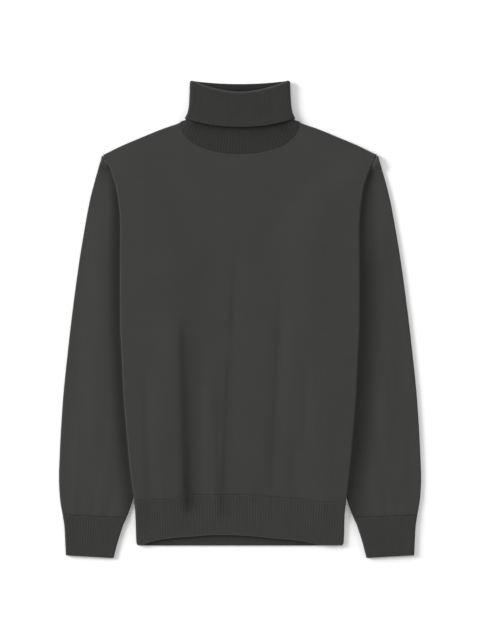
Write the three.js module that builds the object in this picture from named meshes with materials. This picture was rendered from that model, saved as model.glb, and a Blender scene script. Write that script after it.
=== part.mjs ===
import * as THREE from "three";

// A fine-knit sweater with a turned-down rib collar, laid flat on its back with the sleeves down its sides.
// X runs across it, Y from hem to collar, Z up from the surface it lies on. All sizes are millimetres.
// Left and right are as seen from above, with the collar at the top.

// Cloth and seams
const JERSEY_WALL = 1.5;
const RIB_WALL = 2;
const SEAM_GAP = 0.3;
const RIB_RISE = 0.6;

// Body: front and back lie on each other and turn towards each other at the sides and shoulders
const BODY_HEIGHT = 4.8;
const EDGE_RADIUS = (BODY_HEIGHT - SEAM_GAP) / 2;
const SHOULDER_POINT = { x: 227.4, y: 272.5 };
const SHOULDER_LINE = [
  { x: 97.8, y: 326.7 },
  { x: 130, y: 315.6 },
  { x: 161, y: 303 },
  { x: 195, y: 288.5 },
  { x: SHOULDER_POINT.x, y: SHOULDER_POINT.y },
];
const BODY_SIDE = [
  { y: -375, halfWidth: 168.8 },
  { y: -372.5, halfWidth: 171 },
  { y: -369, halfWidth: 172 },
  { y: -324, halfWidth: 173.5 },
  { y: -295, halfWidth: 176.5 },
  { y: -266, halfWidth: 180 },
  { y: -230, halfWidth: 184 },
  { y: -187, halfWidth: 187.8 },
  { y: -120, halfWidth: 193 },
  { y: -54, halfWidth: 196 },
  { y: -17, halfWidth: 198 },
  { y: 60, halfWidth: 198.5 },
  { y: 145, halfWidth: 198 },
  { y: 175, halfWidth: 199 },
  { y: 192, halfWidth: 201 },
  { y: 213, halfWidth: 204 },
  { y: 231, halfWidth: 209 },
  { y: 253, halfWidth: 218 },
  { y: 263, halfWidth: 223.9 },
  { y: 267, halfWidth: 225.6 },
  { y: SHOULDER_POINT.y, halfWidth: SHOULDER_POINT.x },
];

// Neckline: a deep front curve and a shallow back one that meet on the shoulder line
const NECK = {
  halfWidth: 97.8,
  sideY: 327,
  frontDrop: 52.3,
  frontFullness: 0.435,
  backDrop: 21,
  backPower: 2.2,
};

// Hem rib: its seam to the panels sags to both sides, and the front's edge arcs up off the back's
const HEM_SEAM = [
  { x: -180, y: -299.8 },
  { x: -140, y: -298.8 },
  { x: -100, y: -295.6 },
  { x: -60, y: -291.8 },
  { x: 0, y: -290.8 },
  { x: 40, y: -292.4 },
  { x: 90, y: -297 },
  { x: 130, y: -301.6 },
  { x: 180, y: -305 },
];
const HEM_RIBS = 78;
const HEM_ROWS = [0, 0.31, 0.62, 0.93, 1];
const BACK_HEM_Y = -374.8;
const FRONT_HEM_EDGE = [
  { x: -180, y: -374.6 },
  { x: -163, y: -373.6 },
  { x: -138, y: -362.5 },
  { x: -95, y: -357.7 },
  { x: -47, y: -355.7 },
  { x: 0, y: -356.8 },
  { x: 30, y: -359 },
  { x: 80, y: -365.4 },
  { x: 128, y: -374 },
  { x: 180, y: -374.6 },
];

// Sleeves: outer folds, and inner folds that run under the body from the armhole pinch to the hem
const SLEEVE_HEIGHT = 3.5;
const SLEEVE_LOFT = 0.8;
const LOFT_REACH = 12;
const SLEEVE_TOP_Y = 267;
const SLEEVE_HEAD_Y = 225;
// Between these levels the sleeve's head rises from the surface to the top of the shoulder
const HEAD_RISE = { from: 245.5, to: 258 };
const SLEEVE_END_Y = -326.5;
const CUFF_END_Y = -393.3;
const CUFF_TILT = { rise: 4.3, length: 130 };
const CUFF_RIBS = 21;
const SLEEVE_FOLDS = [
  { y: -396, outer: 288.6, inner: 210.6 },
  { y: -366, outer: 290, inner: 202.7 },
  { y: -349, outer: 290.8, inner: 197.3 },
  { y: -338, outer: 292, inner: 193.6 },
  { y: -328, outer: 293.8, inner: 188.8 },
  { y: -315, outer: 296.4, inner: 183.8 },
  { y: -295, outer: 299, inner: 177.6 },
  { y: -266, outer: 300.4, inner: 174.4 },
  { y: -217, outer: 298.8, inner: 167 },
  { y: -134, outer: 293.8, inner: 153 },
  { y: -51, outer: 285.5, inner: 141 },
  { y: 32, outer: 275.6, inner: 134 },
  { y: 100, outer: 266.2, inner: 132 },
  { y: 160, outer: 256.2, inner: 146 },
  { y: 198, outer: 249, inner: 168 },
  { y: 231, outer: 240.6, inner: 199.5 },
  { y: 245, outer: 236.6, inner: 214.9 },
  { y: 253, outer: 234.2, inner: 218.5 },
  { y: 263, outer: 231, inner: 224.3 },
  { y: 267, outer: 229.8, inner: 226 },
];
const SLEEVE_GATHERS = [
  { along: 0.2, rise: 0.9, width: 7, length: 60 },
  { along: 0.42, rise: 1.2, width: 9, length: 95 },
  { along: 0.63, rise: 0.8, width: 8, length: 70 },
  { along: 0.82, rise: 1.1, width: 7, length: 85 },
];

// The body rides up over the tucked part of the sleeves and comes down to the surface again at the hem
const TUCK_CLEARANCE = 0.5;
const TUCK = {
  lift: SLEEVE_HEIGHT + TUCK_CLEARANCE,
  ramp: 84,
  lead: 8,
  topFrom: 300,
  topTo: 232,
  hemFrom: -285,
  hemTo: -360,
};

// Soft upright folds in the lower front: each runs from its upper end down towards the hem
const FRONT_FOLDS = [
  { topX: -94, topY: 5, footX: -84, footY: -325, rise: -0.7, width: 8 },
  { topX: -104, topY: 5, footX: -93, footY: -345, rise: 1.9, width: 13 },
  { topX: -51, topY: -90, footX: -43, footY: -340, rise: 1, width: 11 },
  { topX: -8, topY: 112, footX: -15, footY: -60, rise: -0.6, width: 6 },
  { topX: -15, topY: -40, footX: -30, footY: -325, rise: -0.6, width: 8 },
  { topX: 46, topY: 80, footX: 38, footY: -310, rise: 0.9, width: 20 },
  { topX: 69, topY: 85, footX: 56, footY: -315, rise: -0.6, width: 8 },
  { topX: 86, topY: 10, footX: 80, footY: -280, rise: 0.5, width: 14 },
  { topX: 128, topY: -110, footX: 124, footY: -320, rise: 0.6, width: 18 },
  { topX: -156, topY: -90, footX: -148, footY: -325, rise: -0.5, width: 8 },
];
const FOLD_FADE = 70;

// Collar: a rib tube that stands up from the neckline and turns down outside itself.
// Its walls lie at these distances from the middle of the flattened tube.
const COLLAR = { bodyHeightHalf: BODY_HEIGHT / 2, middle: 4.7, hollow: 0.3, layerGap: 0.4 };
const COLLAR_RADII = {
  standInside: COLLAR.hollow,
  standOutside: COLLAR.hollow + RIB_WALL,
  foldInside: COLLAR.hollow + RIB_WALL + COLLAR.layerGap,
  foldOutside: COLLAR.hollow + 2 * RIB_WALL + COLLAR.layerGap,
};
const COLLAR_TOP = { cornerY: 395.6, frontDip: 18.1, backDip: 5, frontPower: 1.8, backPower: 2 };
const COLLAR_EDGE = { cornerY: 332, frontDip: 13.3, backDip: 8, power: 2.2 };
const COLLAR_SIDE = [
  { y: 300, halfWidth: 91.5 },
  { y: 332, halfWidth: 91.5 },
  { y: 343, halfWidth: 87 },
  { y: 358, halfWidth: 84.5 },
  { y: 396, halfWidth: 83 },
];
const COLLAR_HALF_RIBS = 19;
// How far up the stand, and down the turned-down part, the collar's extra points lie
const STAND_SHARES = { low: 0.25, high: 0.6 };
const TURNED_SHARES = { top: 0.03, low: 0.7 };

const QUARTER_TURN = Math.PI / 2;

function mix(a, b, share) {
  return a + (b - a) * share;
}

function eased(value) {
  const t = Math.min(1, Math.max(0, value));
  return t * t * (3 - 2 * t);
}

function spread(from, to, steps) {
  return Array.from({ length: steps + 1 }, (_, i) => mix(from, to, i / steps));
}

// A smooth curve through a table's rows that never overshoots them
function curveThrough(table, at, value) {
  const xs = table.map((row) => row[at]);
  const ys = table.map((row) => row[value]);
  const rises = xs.slice(1).map((x, i) => (ys[i + 1] - ys[i]) / (x - xs[i]));
  const slopes = xs.map((_, i) => {
    const before = rises[Math.max(0, i - 1)];
    const after = rises[Math.min(rises.length - 1, i)];
    return before * after > 0 ? (2 * before * after) / (before + after) : 0;
  });
  return (x) => {
    const inside = Math.min(xs[xs.length - 1], Math.max(xs[0], x));
    const i = Math.max(0, xs.findIndex((edge) => edge >= inside) - 1);
    const width = xs[i + 1] - xs[i];
    const t = (inside - xs[i]) / width;
    const stay = (1 + 2 * t) * (1 - t) ** 2 * ys[i] + t * t * (3 - 2 * t) * ys[i + 1];
    return stay + width * t * (1 - t) * ((1 - t) * slopes[i] - t * slopes[i + 1]);
  };
}

const bodyHalfWidth = curveThrough(BODY_SIDE, "y", "halfWidth");
const shoulderY = curveThrough(SHOULDER_LINE, "x", "y");
const hemSeamY = curveThrough(HEM_SEAM, "x", "y");
const frontHemEdgeY = curveThrough(FRONT_HEM_EDGE, "x", "y");
const sleeveOuter = curveThrough(SLEEVE_FOLDS, "y", "outer");
const sleeveInner = curveThrough(SLEEVE_FOLDS, "y", "inner");
const collarHalfWidth = curveThrough(COLLAR_SIDE, "y", "halfWidth");

// Adds the band of triangles between two runs of vertices that follow the same edge.
// Each run lists { id, at }, and at says how far along the edge the vertex lies.
function closeBand(triangles, first, second) {
  let i = 0;
  let j = 0;
  while (i < first.length - 1 || j < second.length - 1) {
    const firstNext = i < first.length - 1 ? first[i + 1].at : Infinity;
    const secondNext = j < second.length - 1 ? second[j + 1].at : Infinity;
    if (firstNext <= secondNext) {
      triangles.push(first[i].id, second[j].id, first[i + 1].id);
      i += 1;
    } else {
      triangles.push(first[i].id, second[j].id, second[j + 1].id);
      j += 1;
    }
  }
}

function geometryFrom(points, triangles, { mirrored = false, reversed = false } = {}) {
  const positions = points.flatMap((p) => [mirrored ? -p.x : p.x, p.y, p.z]);
  const ordered = mirrored !== reversed ? triangles.slice().reverse() : triangles;
  const geometry = new THREE.BufferGeometry();
  geometry.setAttribute("position", new THREE.Float32BufferAttribute(positions, 3));
  geometry.setIndex(ordered);
  geometry.computeVertexNormals();
  return geometry;
}

// Every step-th entry of a list, with its last one
function thinned(list, step) {
  return list.filter((_, i) => i % step === 0 || i === list.length - 1);
}

// A wall of cloth. pointAt(column, row, inside) gives the points of its outside and inside.
// The inside is plainer, so it takes only some of the outside's columns and rows.
// Its faces point out when, seen from outside, the columns run to the right of the rows' direction:
// facing.mirrored swaps left and right, and facing.reversed serves a wall whose outside faces down.
function wallGeometry({ pointAt, columns, rows, columnStep = 1, rowStep = 1, facing = {} }) {
  const points = [];
  const triangles = [];
  const layGrid = (columnList, rowList, inside) =>
    rowList.map((row) =>
      columnList.map((column) => {
        points.push(pointAt(column, row, inside));
        return points.length - 1;
      }),
    );
  const marked = (list) => list.map((entry, at) => ({ entry, at }));
  const outerColumns = marked(columns);
  const outerRows = marked(rows);
  const innerColumns = thinned(outerColumns, columnStep);
  const innerRows = thinned(outerRows, rowStep);
  const outer = layGrid(columns, rows, false);
  const inner = layGrid(innerColumns.map((c) => c.entry), innerRows.map((r) => r.entry), true);
  const addFaces = (grid, turned) => {
    for (let r = 0; r < grid.length - 1; r += 1) {
      for (let c = 0; c < grid[r].length - 1; c += 1) {
        const [a, b, d, e] = [grid[r][c], grid[r][c + 1], grid[r + 1][c], grid[r + 1][c + 1]];
        const quad = turned ? [a, e, b, a, d, e] : [a, b, e, a, e, d];
        triangles.push(...quad);
      }
    }
  };
  addFaces(outer, false);
  addFaces(inner, true);
  const run = (ids, marks) => ids.map((id, i) => ({ id, at: marks[i].at }));
  const side = (grid, c) => grid.map((row) => row[c < 0 ? row.length - 1 : c]);
  closeBand(triangles, run(outer[0], outerColumns), run(inner[0], innerColumns));
  closeBand(triangles, run(side(inner, 0), innerRows), run(side(outer, 0), outerRows));
  closeBand(triangles, run(inner.at(-1), innerColumns), run(outer.at(-1), outerColumns));
  closeBand(triangles, run(side(outer, -1), outerRows), run(side(inner, -1), innerRows));
  return geometryFrom(points, triangles, facing);
}

// How far the body is lifted off the surface where a sleeve is tucked under it
function tuckLift(x, y) {
  const full = sleeveInner(y) - TUCK.lead;
  const across = eased((Math.abs(x) - full + TUCK.ramp) / TUCK.ramp);
  const above = eased((TUCK.topFrom - y) / (TUCK.topFrom - TUCK.topTo));
  const below = eased((y - TUCK.hemTo) / (TUCK.hemFrom - TUCK.hemTo));
  return TUCK.lift * across * above * below;
}

function foldRelief(x, y) {
  let relief = 0;
  for (const fold of FRONT_FOLDS) {
    const along = (fold.topY - y) / (fold.topY - fold.footY);
    const centre = mix(fold.topX, fold.footX, along);
    const fade = eased((fold.topY - y) / FOLD_FADE) * eased((y - fold.footY) / FOLD_FADE);
    relief += fold.rise * fade * Math.exp(-(((x - centre) / fold.width) ** 2));
  }
  return relief;
}

function frontNeckY(x) {
  const across = Math.min(1, Math.abs(x) / NECK.halfWidth);
  return NECK.sideY - NECK.frontDrop * (1 - across ** 2) ** NECK.frontFullness;
}

function backNeckY(x) {
  const across = Math.min(1, Math.abs(x) / NECK.halfWidth);
  return NECK.sideY - NECK.backDrop * (1 - across ** NECK.backPower);
}

// A point of the front or back where the cloth may be turning down at its side, its shoulder or both.
// The turns run from 0 on the flat to 1 at the seam, halfway down the stack.
function turnedPoint({ x, y, sideTurn, endTurn, depth, isFront, relief }) {
  const reach = EDGE_RADIUS - depth;
  const sideAngle = sideTurn * QUARTER_TURN;
  const endAngle = endTurn * QUARTER_TURN;
  const drop = reach * Math.cos(sideAngle) * Math.cos(endAngle);
  const lift = tuckLift(x, y);
  const px = x + Math.sign(x) * reach * Math.sin(sideAngle);
  const py = y + reach * Math.sin(endAngle);
  if (isFront) {
    const top = lift + BODY_HEIGHT + relief;
    return new THREE.Vector3(px, py, top - EDGE_RADIUS + drop);
  }
  return new THREE.Vector3(px, py, lift + EDGE_RADIUS - drop);
}

const PANEL_TOP_Y = SHOULDER_POINT.y - EDGE_RADIUS;
const PANEL_TOP_HALF = bodyHalfWidth(PANEL_TOP_Y) - EDGE_RADIUS;
const NECK_CUT_HALF = NECK.halfWidth + SEAM_GAP;
const NECK_CUT_DROP = 1.5 * SEAM_GAP;
const PINCH_FROM = 0.84;

// Columns of a body panel: their shares of the half width at the foot and at the top, and their side turns
function panelColumns(neckShares, outerSteps, turnSteps) {
  const neck = NECK_CUT_HALF / PANEL_TOP_HALF;
  const half = neckShares.map((share) => share * neck);
  half.push(...spread(neck, 1, outerSteps).slice(1));
  const right = half.map((top, i) => ({ top, foot: i / (half.length - 1), turn: 0 }));
  right.push(...spread(0, 1, turnSteps).slice(1).map((turn) => ({ top: 1, foot: 1, turn })));
  const left = right.slice(1).reverse();
  return [...left.map((c) => ({ top: -c.top, foot: -c.foot, turn: c.turn })), ...right];
}

// Rows of both body panels: along runs from 0 at the hem seam to 1 where the shoulder starts to turn.
// They lie closest at the pinch, where the body climbs onto the sleeves.
function panelRows() {
  const flat = [...spread(0, PINCH_FROM, 12), ...spread(PINCH_FROM, 1, 8).slice(1)];
  const turns = spread(0, 1, 3).slice(1);
  return [...flat.map((along) => ({ along, turn: 0 })), ...turns.map((turn) => ({ along: 1, turn }))];
}

const PANEL_SHAPE = { neckBlendFrom: 0.62, hemBlendTo: 0.3, neckToShoulder: 5 };
const FOOT_Y = HEM_SEAM[HEM_SEAM.length - 1].y + SEAM_GAP;

function panelPoint(column, row, inside, isFront) {
  const neckBlend = eased((row.along - PANEL_SHAPE.neckBlendFrom) / (1 - PANEL_SHAPE.neckBlendFrom));
  const hemBlend = eased(1 - row.along / PANEL_SHAPE.hemBlendTo);
  const sideY = mix(FOOT_Y, PANEL_TOP_Y, row.along);
  const share = mix(column.foot, column.top, neckBlend);
  const x = share * (bodyHalfWidth(sideY) - EDGE_RADIUS);
  const topX = Math.abs(column.top) * PANEL_TOP_HALF;
  const neckX = (topX * NECK.halfWidth) / NECK_CUT_HALF;
  const neckY = (isFront ? frontNeckY(neckX) : backNeckY(neckX)) - NECK_CUT_DROP;
  const topY = topX <= NECK_CUT_HALF ? neckY : shoulderY(topX);
  const y = sideY + neckBlend * (topY - SHOULDER_POINT.y) + hemBlend * (hemSeamY(x) + SEAM_GAP - FOOT_Y);
  const onShoulder = eased((topX - NECK_CUT_HALF) / PANEL_SHAPE.neckToShoulder);
  const plainStep = EDGE_RADIUS * row.turn * (1 - onShoulder);
  return turnedPoint({
    x,
    y: y + plainStep,
    sideTurn: column.turn,
    endTurn: row.turn * onShoulder,
    depth: inside ? JERSEY_WALL : 0,
    isFront,
    relief: foldRelief(x, y),
  });
}

function frontPanel() {
  const neckShares = [0, 6, 12, 18, 24, 29, 33, 36, 37, 38].map((line) => line / (2 * COLLAR_HALF_RIBS));
  return wallGeometry({
    pointAt: (column, row, inside) => panelPoint(column, row, inside, true),
    columns: panelColumns(neckShares, 6, 3),
    rows: panelRows(),
    rowStep: 2,
  });
}

function backPanel() {
  return wallGeometry({
    pointAt: (column, row, inside) => panelPoint(column, row, inside, false),
    columns: panelColumns(spread(0, 1, 7), 5, 3),
    rows: panelRows(),
    rowStep: 2,
    facing: { reversed: true },
  });
}

// Ribs stand in the outside of a wall: every other column is a rib's crest
function ribRise(column) {
  return column.crest ? RIB_RISE : 0;
}

// A rib stands fully only on the flat, and sinks where the cloth turns under
function hemPoint(column, along, inside, isFront) {
  const seamX = column.share * (bodyHalfWidth(FOOT_Y) - EDGE_RADIUS);
  const top = hemSeamY(seamX);
  const bottom = isFront ? frontHemEdgeY(seamX) : BACK_HEM_Y;
  const y = mix(top, bottom, along);
  const x = column.share * (bodyHalfWidth(y) - EDGE_RADIUS);
  const point = turnedPoint({
    x,
    y,
    sideTurn: column.turn,
    endTurn: 0,
    depth: inside ? RIB_WALL : 0,
    isFront,
    relief: foldRelief(x, y),
  });
  point.z += inside ? 0 : ribRise(column);
  return point;
}

function hemColumns(steps, turnSteps, ribbed) {
  const flat = spread(-1, 1, steps).map((share, i) => ({ share, turn: 0, crest: ribbed && i % 2 === 1 }));
  const turns = spread(0, 1, turnSteps).slice(1).map((turn) => ({ share: 1, turn, crest: false }));
  const left = turns.map((column) => ({ ...column, share: -1 })).reverse();
  return [...left, ...flat, ...turns];
}

function hemFront() {
  return wallGeometry({
    pointAt: (column, along, inside) => hemPoint(column, along, inside, true),
    columns: hemColumns(2 * HEM_RIBS, 3, true),
    rows: HEM_ROWS,
    columnStep: 3,
    facing: { reversed: true },
  });
}

function hemBack() {
  return wallGeometry({
    pointAt: (column, along, inside) => hemPoint(column, along, inside, false),
    columns: hemColumns(24, 3, false),
    rows: HEM_ROWS,
  });
}

// Columns round a sleeve or cuff, which is a panel folded double: from its seam at the inner fold over
// the upper layer to the outer fold, and back along the lower layer to the seam.
const TUBE_STRETCHES = ["upperTurn", "upper", "outerTurn", "lower", "lowerTurn"];

function tubeColumns(steps, ribbed) {
  const columns = [{ stretch: "upperTurn", share: 0, crest: false }];
  for (const stretch of TUBE_STRETCHES) {
    for (const [i, share] of spread(0, 1, steps[stretch]).slice(1).entries()) {
      columns.push({ stretch, share, crest: ribbed && stretch === "upper" && i % 2 === 0 });
    }
  }
  return columns;
}

function gatherRelief(share, y) {
  let relief = 0;
  for (const gather of SLEEVE_GATHERS) {
    const width = gather.width / (sleeveOuter(y) - sleeveInner(y));
    const fade = eased((SLEEVE_END_Y + gather.length - y) / gather.length);
    relief += gather.rise * fade * Math.exp(-(((share - gather.along) / width) ** 2));
  }
  return relief;
}

function tubePoint({ column, y, depth, height, relief }) {
  const loftHeight = height + SLEEVE_LOFT;
  const innerRadius = (height - SEAM_GAP) / 2;
  const outerRadius = loftHeight / 2;
  const innerX = sleeveInner(y) + innerRadius;
  const outerX = sleeveOuter(y) - outerRadius;
  const { stretch, share } = column;
  const acrossOf = { upperTurn: 0, upper: share, outerTurn: 1, lower: 1 - share, lowerTurn: 0 };
  const across = acrossOf[stretch];
  const tilted = eased((SLEEVE_END_Y + CUFF_TILT.length - y) / CUFF_TILT.length);
  const tilt = CUFF_TILT.rise * (across - 0.5) * tilted;
  const x = mix(innerX, outerX, across);
  const loft = SLEEVE_LOFT * Math.exp(-(((outerX - x) / LOFT_REACH) ** 2));
  const shoulderTop = tuckLift(bodyHalfWidth(y), y) + BODY_HEIGHT;
  const raised = (shoulderTop - height) * eased((y - HEAD_RISE.from) / (HEAD_RISE.to - HEAD_RISE.from));
  const place = (px, pz) => new THREE.Vector3(px, y + tilt, pz + raised);
  if (stretch === "upper") {
    return place(x, height + loft + relief(across) - depth);
  }
  if (stretch === "lower") {
    return place(x, depth);
  }
  if (stretch === "outerTurn") {
    const angle = QUARTER_TURN * (1 - 2 * share);
    const reach = outerRadius - depth;
    return place(outerX + reach * Math.cos(angle), outerRadius + reach * Math.sin(angle));
  }
  const reach = innerRadius - depth;
  if (stretch === "upperTurn") {
    const angle = QUARTER_TURN * (2 - share);
    return place(innerX + reach * Math.cos(angle), height - innerRadius + reach * Math.sin(angle));
  }
  const angle = QUARTER_TURN * (3 - share);
  return place(innerX + reach * Math.cos(angle), innerRadius + reach * Math.sin(angle));
}

function sleeve(mirrored) {
  return wallGeometry({
    pointAt: (column, y, inside) =>
      tubePoint({
        column,
        y,
        depth: inside ? JERSEY_WALL : 0,
        height: SLEEVE_HEIGHT,
        relief: (across) => gatherRelief(across, y),
      }),
    columns: tubeColumns({ upperTurn: 2, upper: 11, outerTurn: 4, lower: 3, lowerTurn: 2 }, false),
    rows: [...spread(SLEEVE_TOP_Y, SLEEVE_HEAD_Y, 6), ...spread(SLEEVE_HEAD_Y, SLEEVE_END_Y, 14).slice(1)],
    columnStep: 2,
    rowStep: 2,
    facing: { mirrored, reversed: true },
  });
}

function cuff(mirrored) {
  return wallGeometry({
    pointAt: (column, y, inside) =>
      tubePoint({
        column,
        y,
        depth: inside ? RIB_WALL : -ribRise(column),
        height: 2 * RIB_WALL + SEAM_GAP,
        relief: () => 0,
      }),
    columns: tubeColumns(
      { upperTurn: 2, upper: 2 * CUFF_RIBS, outerTurn: 4, lower: 6, lowerTurn: 2 },
      true,
    ),
    rows: spread(SLEEVE_END_Y - SEAM_GAP, CUFF_END_Y, 3),
    columnStep: 2,
    facing: { mirrored, reversed: true },
  });
}

// Places round the flattened collar: across the front, round one side, across the back and round the other
function collarRing(backSteps, turnSteps) {
  const frontSteps = 4 * COLLAR_HALF_RIBS;
  const front = spread(-1, 1, frontSteps).map((share, i) => ({
    share,
    angle: QUARTER_TURN,
    crest: i % 2 === 1,
  }));
  const rightTurn = spread(QUARTER_TURN, -QUARTER_TURN, turnSteps).slice(1, -1);
  const back = spread(1, -1, backSteps).map((share) => ({ share, angle: -QUARTER_TURN, crest: false }));
  return [
    ...front,
    ...rightTurn.map((angle) => ({ share: 1, angle, crest: false })),
    ...back,
    ...rightTurn.map((angle) => ({ share: -1, angle: angle - 2 * QUARTER_TURN, crest: false })),
  ];
}

// The levels of the neckline, the free edge and the top fold on one upright line of the collar
function collarLevels({ share, angle }) {
  const across = Math.abs(share);
  const front = (1 + Math.sin(angle)) / 2;
  const x = share * NECK.halfWidth;
  const edgeDip = mix(COLLAR_EDGE.backDip, COLLAR_EDGE.frontDip, front) * (1 - across ** COLLAR_EDGE.power);
  const frontDip = COLLAR_TOP.frontDip * (1 - across ** COLLAR_TOP.frontPower);
  const backDip = COLLAR_TOP.backDip * (1 - across ** COLLAR_TOP.backPower);
  return {
    base: mix(backNeckY(x), frontNeckY(x), front),
    edge: COLLAR_EDGE.cornerY - edgeDip,
    top: COLLAR_TOP.cornerY - mix(backDip, frontDip, front),
  };
}

// A point of the collar at one distance from the middle of the flattened tube
function collarPoint(place, y, radius, risen, raised) {
  const upperHalf = collarHalfWidth(y) - COLLAR_RADII.foldOutside;
  const centreX = mix(NECK.halfWidth, upperHalf, risen);
  const centreZ = mix(COLLAR.bodyHeightHalf, COLLAR.middle, risen);
  const reach = radius + (raised && place.crest ? RIB_RISE : 0);
  return new THREE.Vector3(
    place.share * centreX + reach * Math.cos(place.angle),
    y,
    centreZ + reach * Math.sin(place.angle),
  );
}

// The closed outline of the collar's wall on one upright line: up the inside of the stand, over the top
// fold, down the turned-down part to its free edge, and back up and down between the two layers.
function collarSection(place) {
  const { base, edge, top } = collarLevels(place);
  const radii = COLLAR_RADII;
  const bend = (radii.foldOutside - radii.standInside) / 2;
  const bendCentre = radii.standInside + bend;
  const innerBend = bend - RIB_WALL;
  const standTop = top - bend;
  const stand = (y, radius, raised) => {
    const risen = eased((y - base) / (edge - base));
    return collarPoint(place, y, radius, risen, raised);
  };
  const over = (y, radius, raised) => collarPoint(place, y, radius, 1, raised);
  const low = mix(base, edge, STAND_SHARES.low);
  const high = mix(base, edge, STAND_SHARES.high);
  const bendPoints = spread(0, 2, 4).slice(0, -1).map((turn) => {
    const angle = turn * QUARTER_TURN;
    return over(standTop + bend * Math.sin(angle), bendCentre - bend * Math.cos(angle), false);
  });
  return [
    stand(base, radii.standInside, false),
    stand(high, radii.standInside, false),
    stand(edge, radii.standInside, false),
    ...bendPoints,
    over(mix(standTop, edge, TURNED_SHARES.top), radii.foldOutside, true),
    over(mix(standTop, edge, TURNED_SHARES.low), radii.foldOutside, true),
    over(edge, radii.foldOutside, true),
    over(edge, radii.foldInside, false),
    over(standTop, bendCentre + innerBend, false),
    over(standTop + innerBend, bendCentre, false),
    over(standTop, radii.standOutside, false),
    stand(edge, radii.standOutside, false),
    stand(high, radii.standOutside, true),
    stand(low, radii.standOutside, true),
    stand(base, radii.standOutside, true),
  ];
}

// A solid that closes on itself both round its ring and round each section
function ringGeometry(sections) {
  const size = sections[0].length;
  const triangles = [];
  sections.forEach((_, r) => {
    const next = (r + 1) % sections.length;
    for (let s = 0; s < size; s += 1) {
      const t = (s + 1) % size;
      const [a, b, c, d] = [r * size + s, r * size + t, next * size + s, next * size + t];
      triangles.push(a, b, d, a, d, c);
    }
  });
  return geometryFrom(sections.flat(), triangles);
}

function collar() {
  return ringGeometry(collarRing(8, 4).map(collarSection));
}

// Dark charcoal wool with a slight olive cast: the sleeves lie palest and the ribs darkest
function wool(color, roughness) {
  return new THREE.MeshStandardMaterial({ color, roughness, metalness: 0 });
}

function piece(name, geometry, material) {
  const mesh = new THREE.Mesh(geometry, material);
  mesh.name = name;
  return mesh;
}

const sweater = new THREE.Group();
sweater.add(
  piece("back_panel", backPanel(), wool(0x3c3c3a, 0.92)),
  piece("front_panel", frontPanel(), wool(0x3f3f3d, 0.92)),
  piece("hem_back", hemBack(), wool(0x383836, 0.94)),
  piece("hem_front", hemFront(), wool(0x3c3c3a, 0.94)),
  piece("sleeve_left", sleeve(true), wool(0x41413f, 0.92)),
  piece("sleeve_right", sleeve(false), wool(0x41413f, 0.92)),
  piece("cuff_left", cuff(true), wool(0x3e3e3c, 0.94)),
  piece("cuff_right", cuff(false), wool(0x3e3e3c, 0.94)),
  piece("collar", collar(), wool(0x393937, 0.94)),
);

export default sweater;
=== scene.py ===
"""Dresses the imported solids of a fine-knit turtleneck sweater that lies flat on a pale floor.

Forms are worked out in millimetres on the sweater's own axes: X runs across it, Y from hem to collar, and Z
up from the floor. Left and right are as seen from above. Meshes reach Blender in metres.
"""

import logging
import math
from collections.abc import Callable, Sequence
from dataclasses import dataclass
from enum import Enum
from typing import NamedTuple

import bpy
import numpy as np
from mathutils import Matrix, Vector


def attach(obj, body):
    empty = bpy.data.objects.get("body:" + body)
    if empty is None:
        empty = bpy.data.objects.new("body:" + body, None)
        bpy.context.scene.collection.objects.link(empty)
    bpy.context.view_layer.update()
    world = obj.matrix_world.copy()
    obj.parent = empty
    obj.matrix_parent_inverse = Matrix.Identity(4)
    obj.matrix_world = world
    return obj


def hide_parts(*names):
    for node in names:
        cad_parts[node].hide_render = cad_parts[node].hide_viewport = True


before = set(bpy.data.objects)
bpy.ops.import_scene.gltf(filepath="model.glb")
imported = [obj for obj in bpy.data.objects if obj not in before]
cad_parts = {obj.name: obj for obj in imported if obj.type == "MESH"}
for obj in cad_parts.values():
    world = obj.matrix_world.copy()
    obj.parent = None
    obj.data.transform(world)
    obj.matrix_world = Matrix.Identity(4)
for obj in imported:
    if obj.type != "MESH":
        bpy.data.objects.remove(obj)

LOG = logging.getLogger("sweater")
MM = 0.001
BODY = "root"

JERSEY_WALL = 1.5
RIB_WALL = 2.0
SEAM_GAP = 0.3
RIB_BASE = 0.2
RIB_DEPTH = 0.3
LIP = 0.9
LIP_STEPS = LIP * np.array([0.0, 0.08, 0.25, 0.5, 1.0])
RIB_SHARPNESS = 0.6
QUARTER_TURN = math.pi / 2

Array = np.ndarray
Values = np.ndarray | float


class Side(Enum):
    """The two sides of the sweater, as seen from above with the collar at the top."""

    LEFT = "left"
    RIGHT = "right"


class Layer(Enum):
    """The two layers of the body: the one that shows and the one that lies on the floor."""

    FRONT = "front"
    BACK = "back"


class Slot(Enum):
    """The two knits of the record."""

    JERSEY = "jersey"
    RIB = "rib"


def mix(a: Values, b: Values, share: Values) -> Values:
    """The value that lies that share of the way from a to b."""
    return a + (b - a) * share


def eased(value: Values) -> Array:
    """A smooth step from 0 to 1 as the value goes from 0 to 1."""
    t = np.clip(value, 0.0, 1.0)
    return t * t * (3.0 - 2.0 * t)


def spread(start: float, end: float, steps: int) -> Array:
    """Evenly spaced values from start to end, both included."""
    return np.linspace(start, end, steps + 1)


def joined(*runs: Array) -> Array:
    """Runs of values in one, where each run starts on the last value of the one before."""
    return np.concatenate([runs[0], *[run[1:] for run in runs[1:]]])


def two_sided(values: Array, sign: int) -> Array:
    """Values for both halves of the sweater, where the left half's carry a sign."""
    return np.concatenate([sign * values[:0:-1], values])


def rolled(distance: Array, radius: float) -> Array:
    """How far a surface sinks at each distance from an edge that is rolled to a radius."""
    inside = np.clip(1.0 - distance / radius, 0.0, 1.0)
    return radius * (1.0 - np.sqrt(1.0 - inside * inside))


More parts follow.
